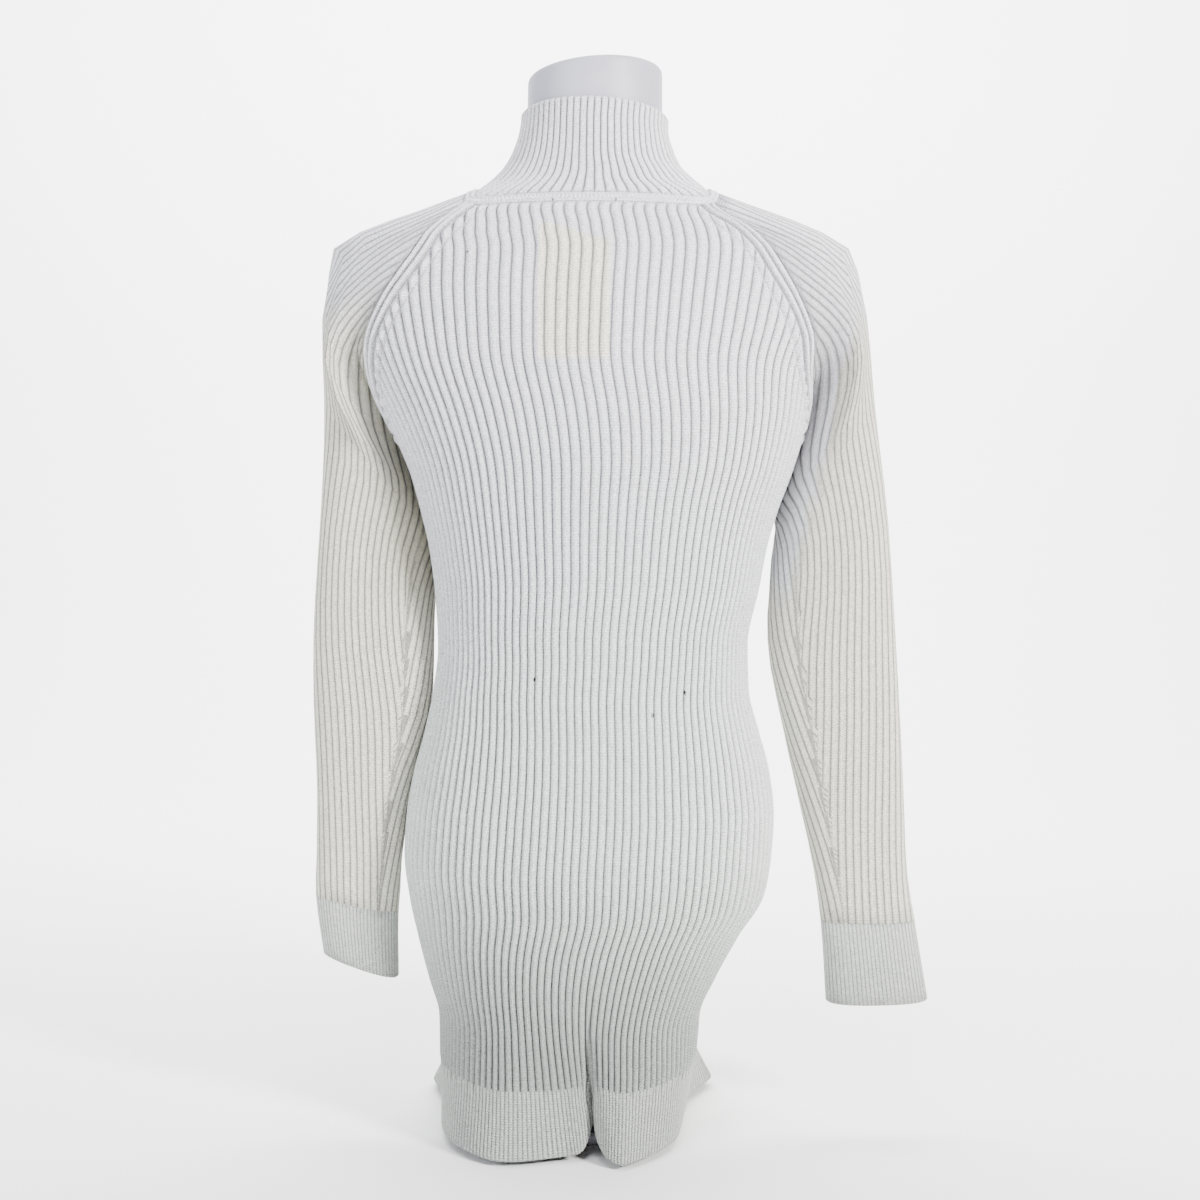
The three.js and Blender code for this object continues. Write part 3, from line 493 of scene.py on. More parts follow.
# lines as (px, py) of the photograph
panelFolds = [
    {"line": [(592, 1010), (588, 1052), (590, 1100)], "wide": 7, "depth": -2.0},
    {"line": [(520, 1000), (512, 1050), (505, 1110)], "wide": 12, "depth": 1.2},
    {"line": [(640, 990), (648, 1050), (655, 1110)], "wide": 11, "depth": 1.3},
    {"line": [(455, 985), (449, 1030), (452, 1075)], "wide": 8, "depth": -1.2},
    {"line": [(745, 800), (720, 880), (700, 960)], "wide": 13, "depth": -0.9},
    {"line": [(455, 560), (470, 640), (478, 700)], "wide": 12, "depth": -0.8},
    {"line": [(540, 1010), (552, 1060), (556, 1120)], "wide": 10, "depth": -1.1, "face": -1},
    {"line": [(625, 1000), (612, 1050), (610, 1120)], "wide": 9, "depth": 1.2, "face": -1},
    {"line": [(470, 690), (500, 720), (530, 735)], "wide": 12, "depth": -0.9, "face": -1},
]


def makePanel(half):
    look = panelLook
    first = 0 if half == "back" else panelRibs
    ribs = ribColumns(0, panelRibs, marksFine)
    ribs[[0, -1]] += 0.012, -0.012
    tops, atBand = ribTops(first + ribs, half)
    rows = look[f"{half}Rows"]
    coarse = int(rows * 0.8)
    t = np.concatenate([[0, 0.0003], np.linspace(0, 0.962, coarse, endpoint=False)[1:],
                        np.linspace(0.962, 1, rows - coarse)])[:, None]
    low = bandTop(first + ribs) + 0.12
    z = mix(low, tops, t)
    toEnd = tops - z
    points = onDress(first + ribs, z)
    normals = gridNormals(points)
    w = np.abs(ribs - np.round(ribs))
    band = atBand.astype(float)
    loop = np.exp(-((toEnd - look["loopAt"]) / look["loopWide"]) ** 2) * smooth((w - 0.1) / 0.22)
    dip = np.exp(-((toEnd - look["dipAt"]) / look["dipWide"]) ** 2)
    out = look["ribHigh"] * ribShape(ribs, look["groove"])
    out = out * mix(1, 0.3, band * smooth((11.5 - toEnd) / 4))
    out = out + band * (look["knot"] * loop - look["dipDeep"] * dip * smooth(w / 0.25))
    out = mix(out, 0.2, band * smooth((2.6 - toEnd) / 2.6))
    out = mix(out, 0.35, (1 - band) * smooth((2.2 - toEnd) / 2.2) * 0.9)
    # the seam above the hem band draws in
    out = out * mix(0.8, 1, smooth((z - low) / 5))
    points = points + normals * foldField(points, normals, panelFolds)[..., None]
    print(f"{half} panel area {gridArea(points):.4f}")
    # painted shade at the rib ends and in the dip under each loop
    floats = {"knitU": ribs, "knitV": z, "paintedShade": np.exp(-(toEnd / 2) ** 2) + band * dip}
    return clothWall(f"{half}Panel", points, normals, out, look["thick"], floats, (0, 0.6))


hemLook = {"rows": 17, "ribs": 100, "ribHigh": 0.85, "wideHigh": 1.45, "thick": 1.9}


def makeHemBand(half):
    first = 0 if half == "back" else panelRibs
    fine = ribColumns(0, hemLook["ribs"], marksBand)
    fine[[0, -1]] += 0.024, -0.024
    ribs = fine * panelRibs / hemLook["ribs"]
    t = np.sort(np.append(np.linspace(0, 1, hemLook["rows"]), [0.006, 0.997]))[:, None]
    low, high = hem["z"](first + ribs), bandTop(first + ribs)
    z = mix(low, high, t)
    points = onDress(first + ribs, z)
    normals = gridNormals(points)
    # the narrow ribs start shallow, out of the wide ones above
    out = hemLook["ribHigh"] * ribShape(fine, 0.26, 0.4)
    out = out * mix(0.5, 1, smooth((z - low) / 3)) * mix(0.35, 1, smooth((high - z) / 9))
    reach = 6 + 5 * ribShape(ribs, 0.5)
    out = out + hemLook["wideHigh"] * ribShape(ribs, 0.2) * smooth((z - high + reach) / reach)
    out = out + 0.3 * smooth((high - z) / 9)
    points = points + normals * foldField(points, normals, panelFolds)[..., None]
    print(f"{half} hem band area {gridArea(points):.4f}")
    # painted shade along the lower edge
    floats = {"knitU": fine, "knitV": z, "paintedShade": 0.6 * np.exp(-((z - low) / 1.2) ** 2)}
    return clothWall(f"{half}HemBand", points, normals, out, hemLook["thick"], floats, (0.9, 0), innerStep=4)


# angle round the neck by share of the seam's length
def roundNeck(edge):
    turns = np.linspace(-180, 180, 721)
    length = runAlong(onBody(turns, neck[edge](np.abs(turns))))
    return lambda share: np.interp(share, length / length[-1], turns)


collarLook = {"ribs": 68, "rows": 44, "ribHigh": 1.7, "thick": 2.0, "left": 862, "right": 858}


def makeCollar():
    fine = ribColumns(0, collarLook["ribs"], marksFine)
    share = fine / collarLook["ribs"]
    t = np.linspace(0, 1, collarLook["rows"])[:, None]
    foot = roundNeck("top")(share)
    turn = mix(foot, 360 * share - 180, smooth(t) * 0.75 + t * 0.25)
    top = mix(collarLook["left"], collarLook["right"], 0.5 + 0.5 * np.sin(turn * rad))
    z = mix(neck["top"](np.abs(foot)) - 0.25, top, t)
    points = onBody(turn, z)
    normals = gridNormals(points, True)
    toTop, fromSeam = top - z, z - z[0]
    out = collarLook["ribHigh"] * ribShape(fine, 0.17) * mix(0.35, 1, smooth(toTop / 2.6))
    out = out * mix(0.5, 1, smooth(fromSeam / 4)) + 0.5 * np.exp(-((toTop - 1.6) / 1.4) ** 2)
    print(f"collar area {gridArea(points):.4f}")
    # painted shade at the seam and along the top edge
    floats = {"knitU": fine, "knitV": z, "paintedShade": np.exp(-(fromSeam / 2.2) ** 2) + 0.5 * np.exp(-toTop ** 2)}
    return clothWall("collarPiece", points, normals, out, collarLook["thick"], floats, (0.1, 0.9),
                     innerStep=3, wrap=True)


trimLook = {"stitches": 190, "perStitch": 5, "rows": 13, "high": 2.4, "thick": 1.8}


# linked seam: a smooth cord over a row of slanting stitches
def makeNeckTrim():
    share = np.linspace(0, 1, trimLook["stitches"] * trimLook["perStitch"] + 1)
    across = np.linspace(0.03, 0.97, trimLook["rows"])[:, None]
    turn = roundNeck("low")(share)
    z = mix(neck["low"](np.abs(turn)), neck["top"](np.abs(turn)), across)
    points = onBody(turn, z)
    normals = gridNormals(points, True)
    phase = share * trimLook["stitches"] + across * 0.9
    stitch = 0.5 + 0.5 * np.cos(2 * np.pi * phase)
    lower = smooth(across / 0.16) * smooth((0.62 - across) / 0.16)
    upper = smooth((across - 0.56) / 0.14) * smooth((1.0 - across) / 0.14)
    cord = upper * (0.75 + 0.1 * np.cos(2 * np.pi * (phase - across * 2)))
    out = trimLook["high"] * (0.3 + lower * (0.4 + 0.4 * stitch) + cord)
    edges = np.exp(-(across / 0.07) ** 2) + np.exp(-((1 - across) / 0.07) ** 2)
    print(f"neck trim area {gridArea(points):.4f}")
    # painted shade along both edges and between the stitches
    paintedShade = edges + 0.45 * lower * (1 - stitch)
    floats = {"knitU": share * trimLook["stitches"], "knitV": across * 8, "paintedShade": paintedShade}
    return clothWall("neckTrimPiece", points, normals, out, trimLook["thick"], floats, (0, 0), wrap=True)


bandLook = {"rows": 150, "cols": 17, "high": 3.7, "thick": 1.9, "inEdge": 0.02, "outEdge": 0.965}


# two cords side by side, along the seam of a sleeve
def makeRaglanBand(half, sign):
    cols = bandLook["cols"]
    s = np.linspace(0.004, 0.999, bandLook["rows"])[::-1][:, None]
    across = np.linspace(0.0, 0.955, cols)
    if (half == "back") != (sign == 1):
        across = across[::-1]
    across = np.clip(across + bandLook["inEdge"], bandLook["inEdge"], bandLook["outEdge"])
    inTurn, inZ = seamIn[half, sign](s)
    outTurn, outZ = seamOut[half, sign](s)
    points = onBody(mix(inTurn, outTurn, across), mix(inZ, outZ, across))
    normals = gridNormals(points)
    cord = (across - bandLook["inEdge"]) / (bandLook["outEdge"] - bandLook["inEdge"]) * 2
    length = runAlong(points[:, cols // 2])[:, None]
    ripple = 0.1 * np.sin(2 * np.pi * (length / 2.6 + cord * 0.5))
    out = (bandLook["high"] + ripple) * ribShape(cord, 0.34, 0.5)
    name = f"raglanBand{half.title()}{'Left' if sign < 0 else 'Right'}"
    print(f"{name} area {gridArea(points):.5f}")
    # painted shade along both edges
    paintedShade = np.exp(-(cord / 0.1) ** 2) + np.exp(-((2 - cord) / 0.1) ** 2)
    floats = {"knitU": cord, "knitV": length, "paintedShade": paintedShade}
    return clothWall(name, points, normals, out, bandLook["thick"], floats, (0, 0))


# where a sleeve rib starts: at the neck trim, then down the outer edge of the raglan band
def sleeveStart(sign, share):
    result = np.zeros((len(share), 3))
    u = np.where(share <= 0.5, share, 1 - share)
    for half, mask in (("back", share <= 0.5), ("front", share > 0.5)):
        corner = float(seamOut[half, sign](0)[0])
        turn, z = seamOut[half, sign](np.clip((u - neckShare) / (0.5 - neckShare), 0, 1))
        top = mix(sign * 90, corner, u / neckShare)
        turn = np.where(u < neckShare, top, turn)
        z = np.where(u < neckShare, neck["low"](np.abs(top)), z)
        place = onBody(turn, z)
        around = onBody(turn + 0.5, z) - onBody(turn - 0.5, z)
        upward = onBody(turn, z + 0.8) - onBody(turn, z - 0.8)
        lift = 1.6 * smooth((u - 0.4) / 0.09)
        place = place + unit(np.cross(around, upward)) * lift[:, None]
        result[mask] = place[mask]
    return result


def sleeveRing(row, share):
    outX, outZ, inX, inZ, y, half, soft, twist, tuck = row[1:]
    angle = 2 * np.pi * (share - twist)
    c, s = np.cos(angle), np.sin(angle)
    along = np.sign(c) * np.abs(c) ** (2 / soft)
    across = np.sign(s) * np.abs(s) ** (2 / soft)
    y = y - half * across + tuck * (0.5 - 0.5 * along) ** 1.5
    return np.stack([mix(inX, outX, 0.5 + 0.5 * along), y, mix(inZ, outZ, 0.5 + 0.5 * along)], -1)


# keeps points outside the body surface by a distance
def pushOut(p, clear):
    half, middle, mid, depth = bodyOval(p[..., 2], p[..., 1] < side["mid"](p[..., 2]))
    far = np.hypot((p[..., 0] - middle) / (half + clear), (p[..., 1] - mid) / (depth + clear))
    inside = (far < 1) & (far > 1e-3)
    grow = np.where(inside, 1 / np.maximum(far, 1e-3), 1)
    q = p.copy()
    q[..., 0] = middle + (p[..., 0] - middle) * grow
    q[..., 1] = mid + (p[..., 1] - mid) * grow
    return q


# evens out the shoulder cap along and round the sleeve, keeping its seam and its lower part
def relax(p, rows):
    q = p.copy()
    strength = (smooth(rows / 0.04) * smooth((0.62 - rows) / 0.2))[:, None, None]
    gap = np.diff(rows)[:, None, None]
    for _ in range(60):
        along = q.copy()
        along[1:-1] = (q[:-2] * gap[1:] + q[2:] * gap[:-1]) / (gap[:-1] + gap[1:])
        before = np.concatenate([q[:, -2:-1], q[:, :-1]], 1)
        after = np.concatenate([q[:, 1:], q[:, 1:2]], 1)
        q = mix(q, 0.6 * along + 0.2 * before + 0.2 * after, 0.5 * strength)
    return q


# all points of a sleeve at rows of places and even shares of the way round
def sleeveTable(sign, rings, rows, count=960):
    share = np.linspace(0, 1, count + 1)
    loops = []
    # rib lines leave the raglan band slanting down, so they sit lower round the cap
    for loop, lean in zip(capLoops, capLean):
        lower = share + lean * np.sin(2 * np.pi * share)
        loops.append(flow(capShares, np.concatenate([loop, loop[:1]]), True)(lower) * [sign, 1, 1])
    knots = np.stack([sleeveStart(sign, share), *loops, *[sleeveRing(row, share) for row in rings]])
    p = flow([0, *capPlaces, *rings[:, 0]], knots)(rows)
    if rows[0] <= 0:
        p = relax(p, rows)
    clear = sleeveShape["clear"] * smooth(rows / 0.05)[:, None]
    clear = clear * smooth((sleeveShape["clearFrom"] - p[..., 2]) / 14)
    return share, np.where((rows <= 0)[:, None, None], p, pushOut(p, clear))


# share round the loop for each rib at each row: by share at the top, by length lower down
def sleeveShares(share, table, rows, ribs, halfCount, blend):
    result = np.zeros((len(rows), len(ribs)))
    half = len(share) // 2
    for r in range(len(rows)):
        backLength = runAlong(table[r, :half + 1])
        frontLength = runAlong(table[r, half:][::-1])
        w = np.clip(np.abs(ribs) / halfCount[r], 0, 1)
        byBack = np.interp(w * backLength[-1], backLength, share[:half + 1])
        byFront = np.interp(w * frontLength[-1], frontLength, share[:half + 1])
        even = 0.5 * w
        result[r] = np.where(ribs >= 0, mix(even, byBack, blend[r]), 1 - mix(even, byFront, blend[r]))
    return result


def sampleTable(share, table, wanted):
    x = wanted * (len(share) - 1)
    i = np.clip(x.astype(int), 0, len(share) - 2)
    f = (x - i)[..., None]
    r = np.arange(len(table))[:, None]
    return table[r, i] * (1 - f) + table[r, i + 1] * f


sleeveLook = {
    -1: {"rings": leftSleeve, "name": "Left", "topRibs": 46, "lowRibs": 32, "rows": 150},
    1: {"rings": rightSleeve, "name": "Right", "topRibs": 46, "lowRibs": 31, "rows": 150},
}
# clear is how far the sleeve stays outside the body surface below the height clearFrom;
# each rib starts in a small loop beside the band, with a dip under it
sleeveShape = {
    "ribHigh": 2.0, "thick": 1.9, "groove": 0.24, "clear": 4.6, "clearFrom": 612,
    "loopAt": 6.5, "loopHigh": 0.7, "dipAt": 11.5, "dipDeep": 0.6, "loopWide": 2.2,
}
rightLap = [(860, 300, -45), (846, 365, -45), (836, 430, -40), (818, 490, -35), (800, 560), (789, 600)]
sleeveFolds = {
    -1: [
        {"line": [(334, 330, -45), (338, 400, -40), (341, 470, -35), (345, 570, -30)],
         "wide": 6, "depth": 3.4},
        {"line": [(353, 345, -50), (358, 430, -45), (364, 560, -35)], "wide": 8, "depth": -3.6},
        {"line": [(378, 400, -20), (394, 470, -10), (404, 540)], "wide": 7, "depth": 2.6},
        {"line": [(392, 440, -10), (408, 520), (414, 590)], "wide": 5, "depth": -2.2},
        {"line": [(400, 560), (412, 640), (420, 700)], "wide": 8, "depth": -2.6},
        {"line": [(414, 690), (397, 713), (378, 722)], "wide": 4.5, "depth": -2.2},
        {"line": [(418, 735), (400, 760), (392, 790)], "wide": 4.5, "depth": 2.0},
        {"line": [(410, 770), (396, 800), (384, 815)], "wide": 4, "depth": -1.7},
        {"line": [(402, 800), (398, 850), (392, 893)], "wide": 5, "depth": 2.8},
        {"line": [(388, 820), (383, 860), (381, 893)], "wide": 5, "depth": -2.4},
        {"line": [(345, 700), (340, 780), (345, 860)], "wide": 10, "depth": 1.3},
        {"line": [(350, 420), (365, 520), (372, 600)], "wide": 9, "depth": 2.0, "face": -1},
        {"line": [(395, 650), (380, 700), (365, 730)], "wide": 6, "depth": -1.9, "face": -1},
        {"line": [(345, 780), (352, 840), (356, 885)], "wide": 8, "depth": 1.5, "face": -1},
    ],
    1: [
        {"line": rightLap, "wide": 4.5, "depth": 5.4, "lap": 13},
        {"line": [(822, 400, -45), (808, 450, -40), (798, 510, -30)], "wide": 6, "depth": -1.8},
        {"line": [(795, 395, -35), (808, 415, -35), (822, 440, -35)], "wide": 4, "depth": -2.2},
        {"line": [(788, 420, -30), (800, 440, -30), (806, 470, -30)], "wide": 4, "depth": 1.8},
        {"line": [(778, 600), (790, 640), (796, 690)], "wide": 7, "depth": -2.2},
        {"line": [(797, 700), (812, 740), (818, 790)], "wide": 7, "depth": 1.5},
        {"line": [(888, 640), (893, 730), (897, 820)], "wide": 9, "depth": 1.2},
        {"line": [(850, 820), (846, 870), (852, 918)], "wide": 8, "depth": -1.3},
        {"line": [(850, 430), (835, 520), (815, 600)], "wide": 9, "depth": 2.1, "face": -1},
        {"line": [(800, 680), (830, 700), (850, 735)], "wide": 6, "depth": -1.7, "face": -1},
        {"line": [(885, 780), (880, 850), (872, 910)], "wide": 8, "depth": 1.4, "face": -1},
    ],
}


# points and normals of a sleeve's ribs at rows of places, and its length down the back
def sleeveGrid(sign, rows, ribs, halfCount, blend):
    share, table = sleeveTable(sign, sleeveLook[sign]["rings"], rows)
    wanted = sleeveShares(share, table, rows, ribs, halfCount, blend)
    dense = gridNormals(table, True) * -sign
    length = runAlong(table[:, len(share) // 4])[:, None]
    return sampleTable(share, table, wanted), unit(sampleTable(share, dense, wanted)), length


def makeSleeve(sign):
    look = sleeveLook[sign]
    top, rest = np.linspace(0, 0.1, 22, endpoint=False), np.linspace(0.1, 0.9998, look["rows"] - 22)
    rows = np.insert(np.concatenate([top, rest]), -1, 0.9994)
    ribs = ribColumns(-look["topRibs"] // 2, look["topRibs"] // 2, marksFine)
    halfCount = mix(look["topRibs"], look["lowRibs"], smooth((rows - 0.42) / 0.62)) / 2
    points, normals, fromTop = sleeveGrid(sign, rows, ribs, halfCount, smooth((rows - 0.1) / 0.35))
    ids = np.arange(len(rows) * len(ribs)).reshape(len(rows), len(ribs))
    over = np.abs(ribs) >= halfCount[:, None] - 1e-6
    over[:, 0] = over[:, -1] = True
    ids = np.where(over, ids[:, -1:], ids)
    toSeam = np.clip(halfCount[:, None] - np.abs(ribs), 0, None)
    shape = ribShape(ribs, sleeveShape["groove"]) * smooth(toSeam / 0.35)
    out = sleeveShape["ribHigh"] * shape * mix(0.15, 1, smooth(fromTop / 6)) + 0.5 * smooth(fromTop / 5)
    loop, dip = (np.exp(-((fromTop - sleeveShape[at]) / sleeveShape["loopWide"]) ** 2)
                 for at in ("loopAt", "dipAt"))
    out = out + sleeveShape["loopHigh"] * loop * smooth(shape * 1.4 - 0.3)
    out = out - sleeveShape["dipDeep"] * dip * shape
    toCuff = fromTop[-1] - fromTop
    out = out * mix(0.8, 1, smooth(toCuff / 5))
    folds = foldField(points, normals, sleeveFolds[sign]) * smooth(fromTop / 30) * smooth(toCuff / 8)
    pale, crease = besideFold(points, rightLap) if sign == 1 else (0, 0)
    points = points + normals * folds[..., None]
    # painted shade at the top, along the underarm seam and in the crease of the fold
    paintedShade = np.exp(-(fromTop / 1.5) ** 2) + np.exp(-(toSeam / 0.22) ** 2) * 0.5 + crease * 0.8
    name = f"sleeve{look['name']}"
    print(f"{name} area {gridArea(points):.4f} length {fromTop[-1, 0]:.0f}")
    floats = {"knitU": ribs + 40, "knitV": fromTop, "paintedShade": paintedShade, "pale": pale}
    return clothWall(name, points, normals, out, sleeveShape["thick"], floats, (0, 0.1),
                     wrap=True, ids=ids, flip=sign == 1)


cuffLook = {"ribs": 60, "rows": 24, "ribHigh": 0.8, "wideHigh": 0.9, "thick": 1.9}


def makeCuff(sign):
    look = sleeveLook[sign]
    rows = np.insert(np.linspace(1.0002, 1.139, cuffLook["rows"]), 1, 1.0006)
    fine = ribColumns(-cuffLook["ribs"] // 2, cuffLook["ribs"] // 2, marksBand)
    even = np.ones(len(rows))
    points, normals, length = sleeveGrid(sign, rows, fine, even * cuffLook["ribs"] / 2, even)
    toEnd = length[-1] - length
    # the narrow ribs start shallow, out of the wide ones above
    wide = ribShape(fine * look["lowRibs"] / cuffLook["ribs"], 0.24)
    reach = 5 + 5 * wide
    out = cuffLook["ribHigh"] * ribShape(fine, 0.26, 0.4)
    out = out * mix(0.3, 1, smooth(length / 8)) * mix(0.5, 1, smooth(toEnd / 3))
    out = out + 0.4 + cuffLook["wideHigh"] * wide * smooth((reach - length) / reach)
    name = f"cuff{look['name']}"
    print(f"{name} area {gridArea(points):.5f}")
    # painted shade along the lower edge
    floats = {"knitU": fine + 40, "knitV": length, "paintedShade": 0.6 * np.exp(-(toEnd / 1.2) ** 2)}
    return clothWall(name, points, normals, out, cuffLook["thick"], floats, (0, 0.9),
                     innerStep=4, wrap=True, flip=sign == 1)


# rings of the form: foot and post as height and radii, the rest as height and depth under the cloth
formLook = {
    "around": 120,
    "foot": [(0, 72.2, 55.2), (0.8, 73, 56), (6.2, 73, 56), (8.2, 72.3, 55.3), (9.5, 70.8, 53.8),
             (10, 68.8, 51.8)],
    "post": [(10.1, 24), (10.8, 21), (12, 19.6), (15, 18), (18, 17.1), (22, 17), (70, 17), (132, 17)],
    "under": [(136, 36), (136.6, 26), (137.6, 21), (139, 17), (142, 13.5), (146, 11.6), (151, 10.8)],
    "waist": 10.5,
    "chest": 8.5,
    "neck": 3.6,
    "rim": [(884, 0), (890, 0), (893, 0.1), (894.4, 0.5), (895.3, 1.2), (895.8, 2.1), (896, 3.2), (896, 9)],
    "rimSlope": 4,
}


# limbless form: foot, post, torso, shoulders and neck stump in one body
def makeForm():
    count = formLook["around"]
    a = np.arange(count) / count * 2 * np.pi
    turn = np.where(a > np.pi, a - 2 * np.pi, a) / rad
    rings = []

    def oval(z, rx, ry):
        ring = np.stack([rx * np.sin(a), -ry * np.cos(a), np.full(count, z)], -1)
        rings.append(ring - shift)

    def torso(z, inset):
        rings.append(onBody(turn, z, -inset))

    for z, rx, ry in formLook["foot"]:
        oval(z, rx, ry)
    for z, r in formLook["post"]:
        oval(z, r, r)
    for z, inset in formLook["under"]:
        torso(z, inset)
    for z in np.linspace(158, 704, 66):
        torso(z, formLook["waist"])
    for z in np.linspace(709, 878, 58):
        chest = mix(formLook["chest"], formLook["waist"], smooth((716 - z) / 12))
        torso(z, mix(chest, formLook["neck"], smooth((z - 775) / 70)))
    for z, inset in formLook["rim"]:
        torso(z, formLook["neck"] + inset)
        rings[-1][:, 2] += formLook["rimSlope"] * np.sin(turn * rad) * smooth((z - 880) / 6)
    for k in (0.75, 0.667, 0.5):
        middle = rings[-1].mean(0)
        rings.append(middle + (rings[-1] - middle) * k)
    grid = np.array(rings)
    points = np.concatenate([grid.reshape(-1, 3), [grid[0].mean(0)], [grid[-1].mean(0)]])
    low, high = len(points) - 2, len(points) - 1
    ids = np.arange(len(points) - 2).reshape(len(grid), count)
    after = np.roll(ids, -1, 1)
    length = runAlong(grid[:, 0])
    v = 0.06 + 0.88 * length / length[-1]
    faces, uvs = [], []
    for r in range(len(grid) - 1):
        for c in range(count):
            u, uNext = c / count, (c + 1) / count
            faces.append([[ids[r, c], after[r, c], after[r + 1, c], ids[r + 1, c]]])
            uvs.append([[(u, v[r]), (uNext, v[r]), (uNext, v[r + 1]), (u, v[r + 1])]])
    for c in range(count):
        u, uMid, uNext = c / count, (c + 0.5) / count, (c + 1) / count
        faces.append([[ids[0, c], low, after[0, c]]])
        uvs.append([[(u, 0.05), (uMid, 0.01), (uNext, 0.05)]])
        faces.append([[ids[-1, c], after[-1, c], high]])
        uvs.append([[(u, 0.95), (uNext, 0.95), (uMid, 0.99)]])
    return meshOf("formShell", points, faces, uvs)[0]


pieces = {}
for half in ("back", "front"):
    pieces[f"{half}_panel"] = makePanel(half)
    pieces[f"{half}_hem_band"] = makeHemBand(half)
    for word, sign in (("left", -1), ("right", 1)):
        pieces[f"raglan_band_{half}_{word}"] = makeRaglanBand(half, sign)
for word, sign in (("left", -1), ("right", 1)):
    pieces[f"sleeve_{word}"] = makeSleeve(sign)
    pieces[f"cuff_{word}"] = makeCuff(sign)
pieces["collar"] = makeCollar()
pieces["neck_trim"] = makeNeckTrim()
pieces["dress_form"] = makeForm()
print("pieces made")


# a shader socket that can be used in sums; every sum adds one Math node
class Wire:
    def __init__(self, tree, socket):
        self.tree = tree
        self.socket = socket

    def math(self, operation, a, b):
        return addNode(self.tree, "ShaderNodeMath", {"operation": operation}, {0: a, 1: b})

    def __add__(self, other):
        return self.math("ADD", self, other)

    __radd__ = __add__

    def __mul__(self, other):
        return self.math("MULTIPLY", self, other)

    __rmul__ = __mul__

    def __sub__(self, other):
        return self.math("SUBTRACT", self, other)

    def __rsub__(self, other):
        return self.math("SUBTRACT", other, self)

    def __truediv__(self, other):
        return self.math("DIVIDE", self, other)

    def __pow__(self, other):
        return self.math("POWER", self, other)

    def __mod__(self, other):
        return self.math("FLOORED_MODULO", self, other)

    def __abs__(self):
        return self.math("ABSOLUTE", self, 0)


def addNode(tree, kind, settings=None, values=None, out=0):
    node = tree.nodes.new(kind)
    for name, value in (settings or {}).items():
        setattr(node, name, value)
    for name, value in (values or {}).items():
        if isinstance(value, Wire):
            tree.links.new(value.socket, node.inputs[name])
        else:
            node.inputs[name].default_value = value
    return Wire(tree, node.outputs[out])


def mixColor(tree, factor, a, b):
    settings = {"data_type": "RGBA", "clamp_factor": True}
    return addNode(tree, "ShaderNodeMix", settings, {0: factor, 6: a, 7: b}, 2)


# soft step up from 0 at low to 1 at high
def stepUp(tree, value, low, high):
    return addNode(tree, "ShaderNodeMapRange", {"interpolation_type": "SMOOTHSTEP", "clamp": True},
                   {0: value, 1: low, 2: high, 3: 0.0, 4: 1.0})


# 1 between two edges; each edge is the pair of places where its soft step starts and ends
def between(tree, value, rise, fall):
    return stepUp(tree, value, *rise) * (1.0 - stepUp(tree, value, *fall))


def readFloat(tree, name):
    return addNode(tree, "ShaderNodeAttribute", {"attribute_name": name}, {}, "Fac")


def axes(tree, place):
    parts = addNode(tree, "ShaderNodeSeparateXYZ", {}, {0: place})
    return [Wire(tree, socket) for socket in parts.socket.node.outputs]


def noise(tree, place, scale, detail, rough):
    return addNode(tree, "ShaderNodeTexNoise", {},
                   {"Vector": place, "Scale": scale, "Detail": detail, "Roughness": rough})


def newMaterial(name):
    material = bpy.data.materials.new(name)
    material.use_nodes = True
    tree = material.node_tree
    return material, tree, tree.nodes["Principled BSDF"]


knitLook = {
    "top": (0.87, 0.855, 0.925, 1),      # lilac white near the shoulders, where the painted light is brightest
    "low": (0.735, 0.785, 0.75, 1),      # darker, greener white towards the hem, painted shade
    "cream": (0.825, 0.805, 0.69, 1),    # sleeves
    "deep": (0.54, 0.51, 0.39, 1),       # shaded sleeve cloth under the left arm
    "label": (0.93, 0.905, 0.76, 1),     # inside label showing through
    "patch": (0.74, 0.77, 0.79, 1),      # small mark under the label
    # strength of the painted shade in grooves, over the sides of ribs and along seams and edges
    "grooveDark": 0.5,
    "sideDark": 0.24,
    "seamDark": 0.26,
    "insideDark": 0.05,
    "stitchDark": 0.12,
    "fleckDark": 0.6,
    "rightShade": 0.09,                   # painted shade: the right sleeve is a little darker
    "speckle": 0.62,
    "bumpDeep": 0.0013,
}
# wales in a rib, height of a stitch, width of a groove, how far the colour leans to cream, how much
# painted shade darkens the lowest part and how dark the painted shade in the grooves is
knitKinds = {
    "wideRibKnit": {"wales": 3.0, "stitch": 2.3, "groove": 0.17, "cream": 0.0, "lowShade": 0.54, "dark": 1.0},
    "raglanBandKnit": {"wales": 2.0, "stitch": 2.3, "groove": 0.34, "cream": 0.0, "lowShade": 0.0,
                       "dark": 0.9},
    "collarRibKnit": {"wales": 2.0, "stitch": 2.3, "groove": 0.2, "cream": 0.0, "lowShade": 0.0, "dark": 1.0},
    "sleeveRibKnit": {"wales": 2.0, "stitch": 2.3, "groove": 0.21, "cream": 2.0, "lowShade": 0.0, "dark": 1.0},
    "fineRibKnit": {"wales": 1.0, "stitch": 2.0, "groove": 0.26, "cream": 0.3, "lowShade": 0.40, "dark": 0.8},
    "neckTrimKnit": {"wales": 1.0, "stitch": 2.0, "groove": 0.2, "cream": 1.6, "lowShade": 0.0, "dark": 0.3},
}
# dark flecks of yarn: x, z and size
flecks = [
    (-0.0249, 0.7703, 0.0012), (0.0257, 0.7703, 0.0012), (-0.0925, 0.7265, 0.0012),
    (-0.0392, 0.3855, 0.0014), (0.0812, 0.3747, 0.0016), (0.0545, 0.3575, 0.0016),
]


